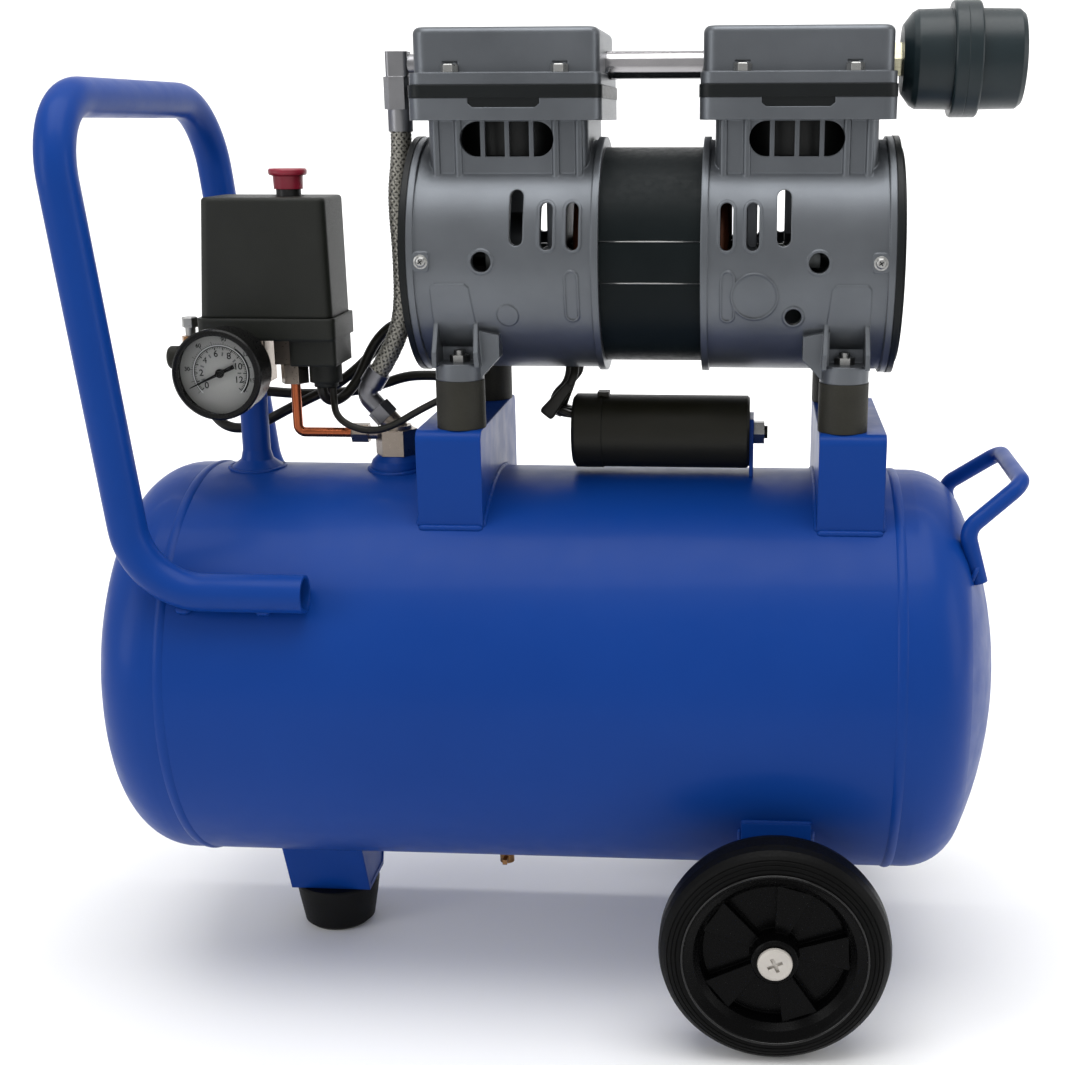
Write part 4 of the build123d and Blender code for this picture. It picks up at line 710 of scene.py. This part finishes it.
def braided_sleeve(route, radius, carriers, turns_per_mm):
    """Flat strands wound both ways round a hose, passing over and under each other."""
    line = smooth_line(route, 24)
    frames = frames_along(line)
    lengths = [0.0]
    for a, b in zip(frames, frames[1:]):
        lengths.append(lengths[-1] + (b[0] - a[0]).length)
    total = lengths[-1]

    def place(s, angle, r):
        i = 0
        while i < len(lengths) - 2 and lengths[i + 1] < s:
            i += 1
        t = (s - lengths[i]) / max(1e-9, lengths[i + 1] - lengths[i])
        a, b = frames[i], frames[i + 1]
        point = a[0].lerp(b[0], t)
        side = a[1].lerp(b[1], t).normalized()
        up = a[2].lerp(b[2], t).normalized()
        return point + (side * cos(angle) + up * sin(angle)) * r

    verts, faces, uvs = [], [], []
    half_width = pi / carriers * 0.98  # of a strand, as an angle round the hose
    steps = int(total / 0.9)
    across_strand = (-1, -0.5, 0, 0.5, 1)
    for way in (-1, 1):
        for c in range(carriers):
            start = len(verts)
            for k in range(steps + 1):
                s = total * k / steps
                angle = 2 * pi * (c / carriers + way * turns_per_mm * s)
                crossing = (2 * pi * carriers * turns_per_mm * s
                            + (pi / 2 if way > 0 else -pi / 2) + pi * (c % 2))
                lift = 0.28 * sin(crossing)
                for across in across_strand:
                    crown = 0.22 * (1 - across**2)
                    r = radius - 0.35 + lift + crown
                    verts.append(place(s, angle + across * half_width, r))
                    uvs.append((across * 0.5 + 0.5, s))
            for k in range(steps):
                for j in range(4):
                    a = start + k * 5 + j
                    faces.append((a, a + 1, a + 6, a + 5))
    return verts, faces, uvs


verts, faces, uvs = braided_sleeve(HOSE_ROUTE, 6.2, 12, 1 / 46)
hose = new_piece("hose_braid", verts, faces, "braid", "frame", True, uvs)
core_verts, core_faces = tube_data(smooth_line(HOSE_ROUTE, 10), 5.4, 24)
core = new_piece("hose_core", core_verts, core_faces, "sheath", "frame")
core.parent = hose
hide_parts("discharge_hose")

# ---------------------------------------------------------------- leads
LEADS = [  # radius and route: base lead, motor lead, front lead, capacitor lead
    (3.2, [(-46, 26, 380.6), (-46, 26, 371), (-60, 29, 366), (-86, 34, 366), (-101, 36, 365),
           (-118, 36, 359), (-140, 36, 354), (-170, 34, 353), (-200, 32, 356), (-222, 28, 352),
           (-226, 24, 342), (-214, 22, 332), (-196, 23, 334), (-172, 24, 347), (-146, 28, 359),
           (-130, 32, 371), (-116, 36, 386), (-104, 36, 398), (-95, 34, 402), (-81.1, 34, 402)]),
    (3.2, [(-146.5, 2, 363.9), (-146.5, 2, 356), (-139, 12, 352), (-128, 20, 364),
           (-119, 24, 386), (-106, 20, 399), (-96, 16, 401.5), (-81.1, 16, 401.5)]),
    (2.2, [(-138.5, -2, 363.9), (-138.5, -2, 356), (-135, -12, 348), (-126, -18, 342.5),
           (-112, -21, 339.5), (-98, -22, 343), (-80, -25, 354), (-62, -28, 363),
           (-53, -28, 371), (-53, -28, 382.4)]),
    (3.2, [(10.9, 4, 348), (0, 4, 348), (-2, 4, 358), (9, 4, 368), (9, 4, 377.6)]),
]
verts, faces = join_data([tube_data(smooth_line(route, 10), radius, 18) for radius, route in LEADS])
leads = new_piece("leads", verts, faces, "sheath", "frame")
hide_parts("wiring")

# ---------------------------------------------------------------- gauge printing
ZERO_ANGLE, FULL_ANGLE = 220.0, -40.0
INNER_FULL, OUTER_FULL = 13.0, 168.0  # the values at full scale
PRINT_LIFT = 0.06


def dial_point(angle, r):
    """A point on the dial; angle is anticlockwise from +X as the reader sees it."""
    a = radians(angle)
    return Vector((DIAL.x + r * cos(a), DIAL.y - PRINT_LIFT, DIAL.z + r * sin(a)))


def arc_strip(r_in, r_out, start, end, steps=96):
    verts, faces = [], []
    for i in range(steps + 1):
        angle = start + (end - start) * i / steps
        verts += [dial_point(angle, r_in), dial_point(angle, r_out)]
        if i:
            k = 2 * i
            faces.append((k - 2, k - 1, k + 1, k))
    return verts, faces


def tick(angle, r_in, r_out, width):
    a = radians(angle)
    side = Vector((-sin(a), 0, cos(a))) * (width / 2)
    inner, outer = dial_point(angle, r_in), dial_point(angle, r_out)
    return [inner - side, inner + side, outer + side, outer - side], [(0, 1, 2, 3)]


def digits(text, centre, height):
    """Flat mesh of a short number, upright on the dial."""
    curve = bpy.data.curves.new("digits", "FONT")
    curve.body = text
    curve.size = height * 1.38
    curve.align_x = "CENTER"
    curve.align_y = "CENTER"
    curve.resolution_u = 3
    curve.offset = 0.0 if text == "4" else 0.08  # bolder, but the 4's small eye stays open
    holder = bpy.data.objects.new("digits", curve)
    scene.collection.objects.link(holder)
    bpy.context.view_layer.update()
    mesh = bpy.data.meshes.new_from_object(holder)
    verts = [Vector((centre.x + v.co.x, centre.y, centre.z + v.co.y)) for v in mesh.vertices]
    faces = [tuple(p.vertices) for p in mesh.polygons]
    bpy.data.objects.remove(holder)
    bpy.data.curves.remove(curve)
    bpy.data.meshes.remove(mesh)
    return verts, faces


def scale_angle(value, top):
    """Where a value stands on a scale that ends at top."""
    return ZERO_ANGLE + (FULL_ANGLE - ZERO_ANGLE) * value / top


dark = [arc_strip(15.4, 15.8, ZERO_ANGLE, FULL_ANGLE),
        arc_strip(16.5, 16.7, ZERO_ANGLE, FULL_ANGLE)]
faint = []
pale = [arc_strip(15.88, 16.42, ZERO_ANGLE + 6, FULL_ANGLE - 6)]
for step in range(66):
    whole = step % 5 == 0
    angle = scale_angle(step / 5, INNER_FULL)
    dark.append(tick(angle, 13.6 if whole else 14.4, 15.6, 0.6 if whole else 0.34))
for value in range(0, 13, 2):
    dark.append(digits(str(value), dial_point(scale_angle(value, INNER_FULL), 11.4), 3.9))
for step in range(57):
    whole = step % 5 == 0
    angle = scale_angle(step, 56.0)
    dark.append(tick(angle, 16.6, 18.6 if whole else 17.6, 0.3 if whole else 0.2))
for value in (30, 60, 90, 120, 150):
    dark.append(digits(str(value), dial_point(scale_angle(value, OUTER_FULL), 19.9), 2.4))
for value in (1, 3, 5, 7, 9, 11):
    faint.append(tick(scale_angle(value, INNER_FULL), 10.2, 12.4, 0.9))
# a broad dark band marks the end of the range
dark.append(arc_strip(16.4, 17.5, scale_angle(8.2, INNER_FULL), FULL_ANGLE))
for name, parts, finish in (("dial_marks", dark, "ink_and_recess_shade"), ("dial_faint_marks", faint, "faint_ink"),
                            ("dial_pale_ring", pale, "white_ink")):
    verts, faces = join_data(parts)
    new_piece(name, verts, faces, finish, "frame", False)

# ---------------------------------------------------------------- floor and light
FLOOR_Z = -0.0004
BEND_Y, BEND_R = 3.0, 2.5  # the floor bends up into the backdrop behind the part
rows = [(-4.0, FLOOR_Z), (BEND_Y, FLOOR_Z)]
for i in range(1, 11):
    a = radians(9 * i)
    rows.append((BEND_Y + BEND_R * sin(a), BEND_R - BEND_R * cos(a)))
rows.append((BEND_Y + BEND_R, 6.0))
floor_verts = [(x, y, z) for y, z in rows for x in (-7, 7)]
floor_faces = [(2 * i, 2 * i + 1, 2 * i + 3, 2 * i + 2) for i in range(len(rows) - 1)]
floor_mesh = bpy.data.meshes.new("floor")
floor_mesh.from_pydata(floor_verts, [], floor_faces)
floor_mesh.shade_smooth()
floor = bpy.data.objects.new("floor", floor_mesh)
scene.collection.objects.link(floor)
floor_graph = Graph("floor_card")
floor_mesh.materials.append(floor_graph.out(
    floor_graph.ramp(floor_graph.noise(3, 2), (0.90, 0.90, 0.90), (0.92, 0.92, 0.92)),
    floor_graph.spread(floor_graph.noise(40, 3), 0.75, 0.85), None, Specular_IOR_Level=0.1))

world = bpy.data.worlds.new("studio")
world.use_nodes = True
background = world.node_tree.nodes["Background"]
background.inputs["Color"].default_value = (1.0, 1.0, 1.0, 1)
background.inputs["Strength"].default_value = 0.62
scene.world = world


def softbox(name, location, target, size, power):
    """A rectangular area light turned towards a point."""
    data = bpy.data.lights.new(name, "AREA")
    data.shape = "RECTANGLE"
    data.size, data.size_y = size
    data.energy = power
    lamp = bpy.data.objects.new(name, data)
    scene.collection.objects.link(lamp)
    lamp.location = location
    lamp.rotation_euler = (Vector(target) - Vector(location)).to_track_quat("-Z", "Y").to_euler()


softbox("top_light", (0.1, -0.3, 2.2), (0, 0, 0.3), (2.2, 1.4), 34)
softbox("backdrop_light", (0, 1.6, 3.0), (0, 4.6, 0.8), (5.0, 1.0), 170)
softbox("left_light", (-1.9, -1.3, 1.1), (0, 0, 0.35), (1.0, 1.4), 12)
softbox("right_light", (2.2, -0.35, 0.9), (0, 0, 0.35), (0.8, 1.4), 7)

scene.view_settings.view_transform = "Standard"
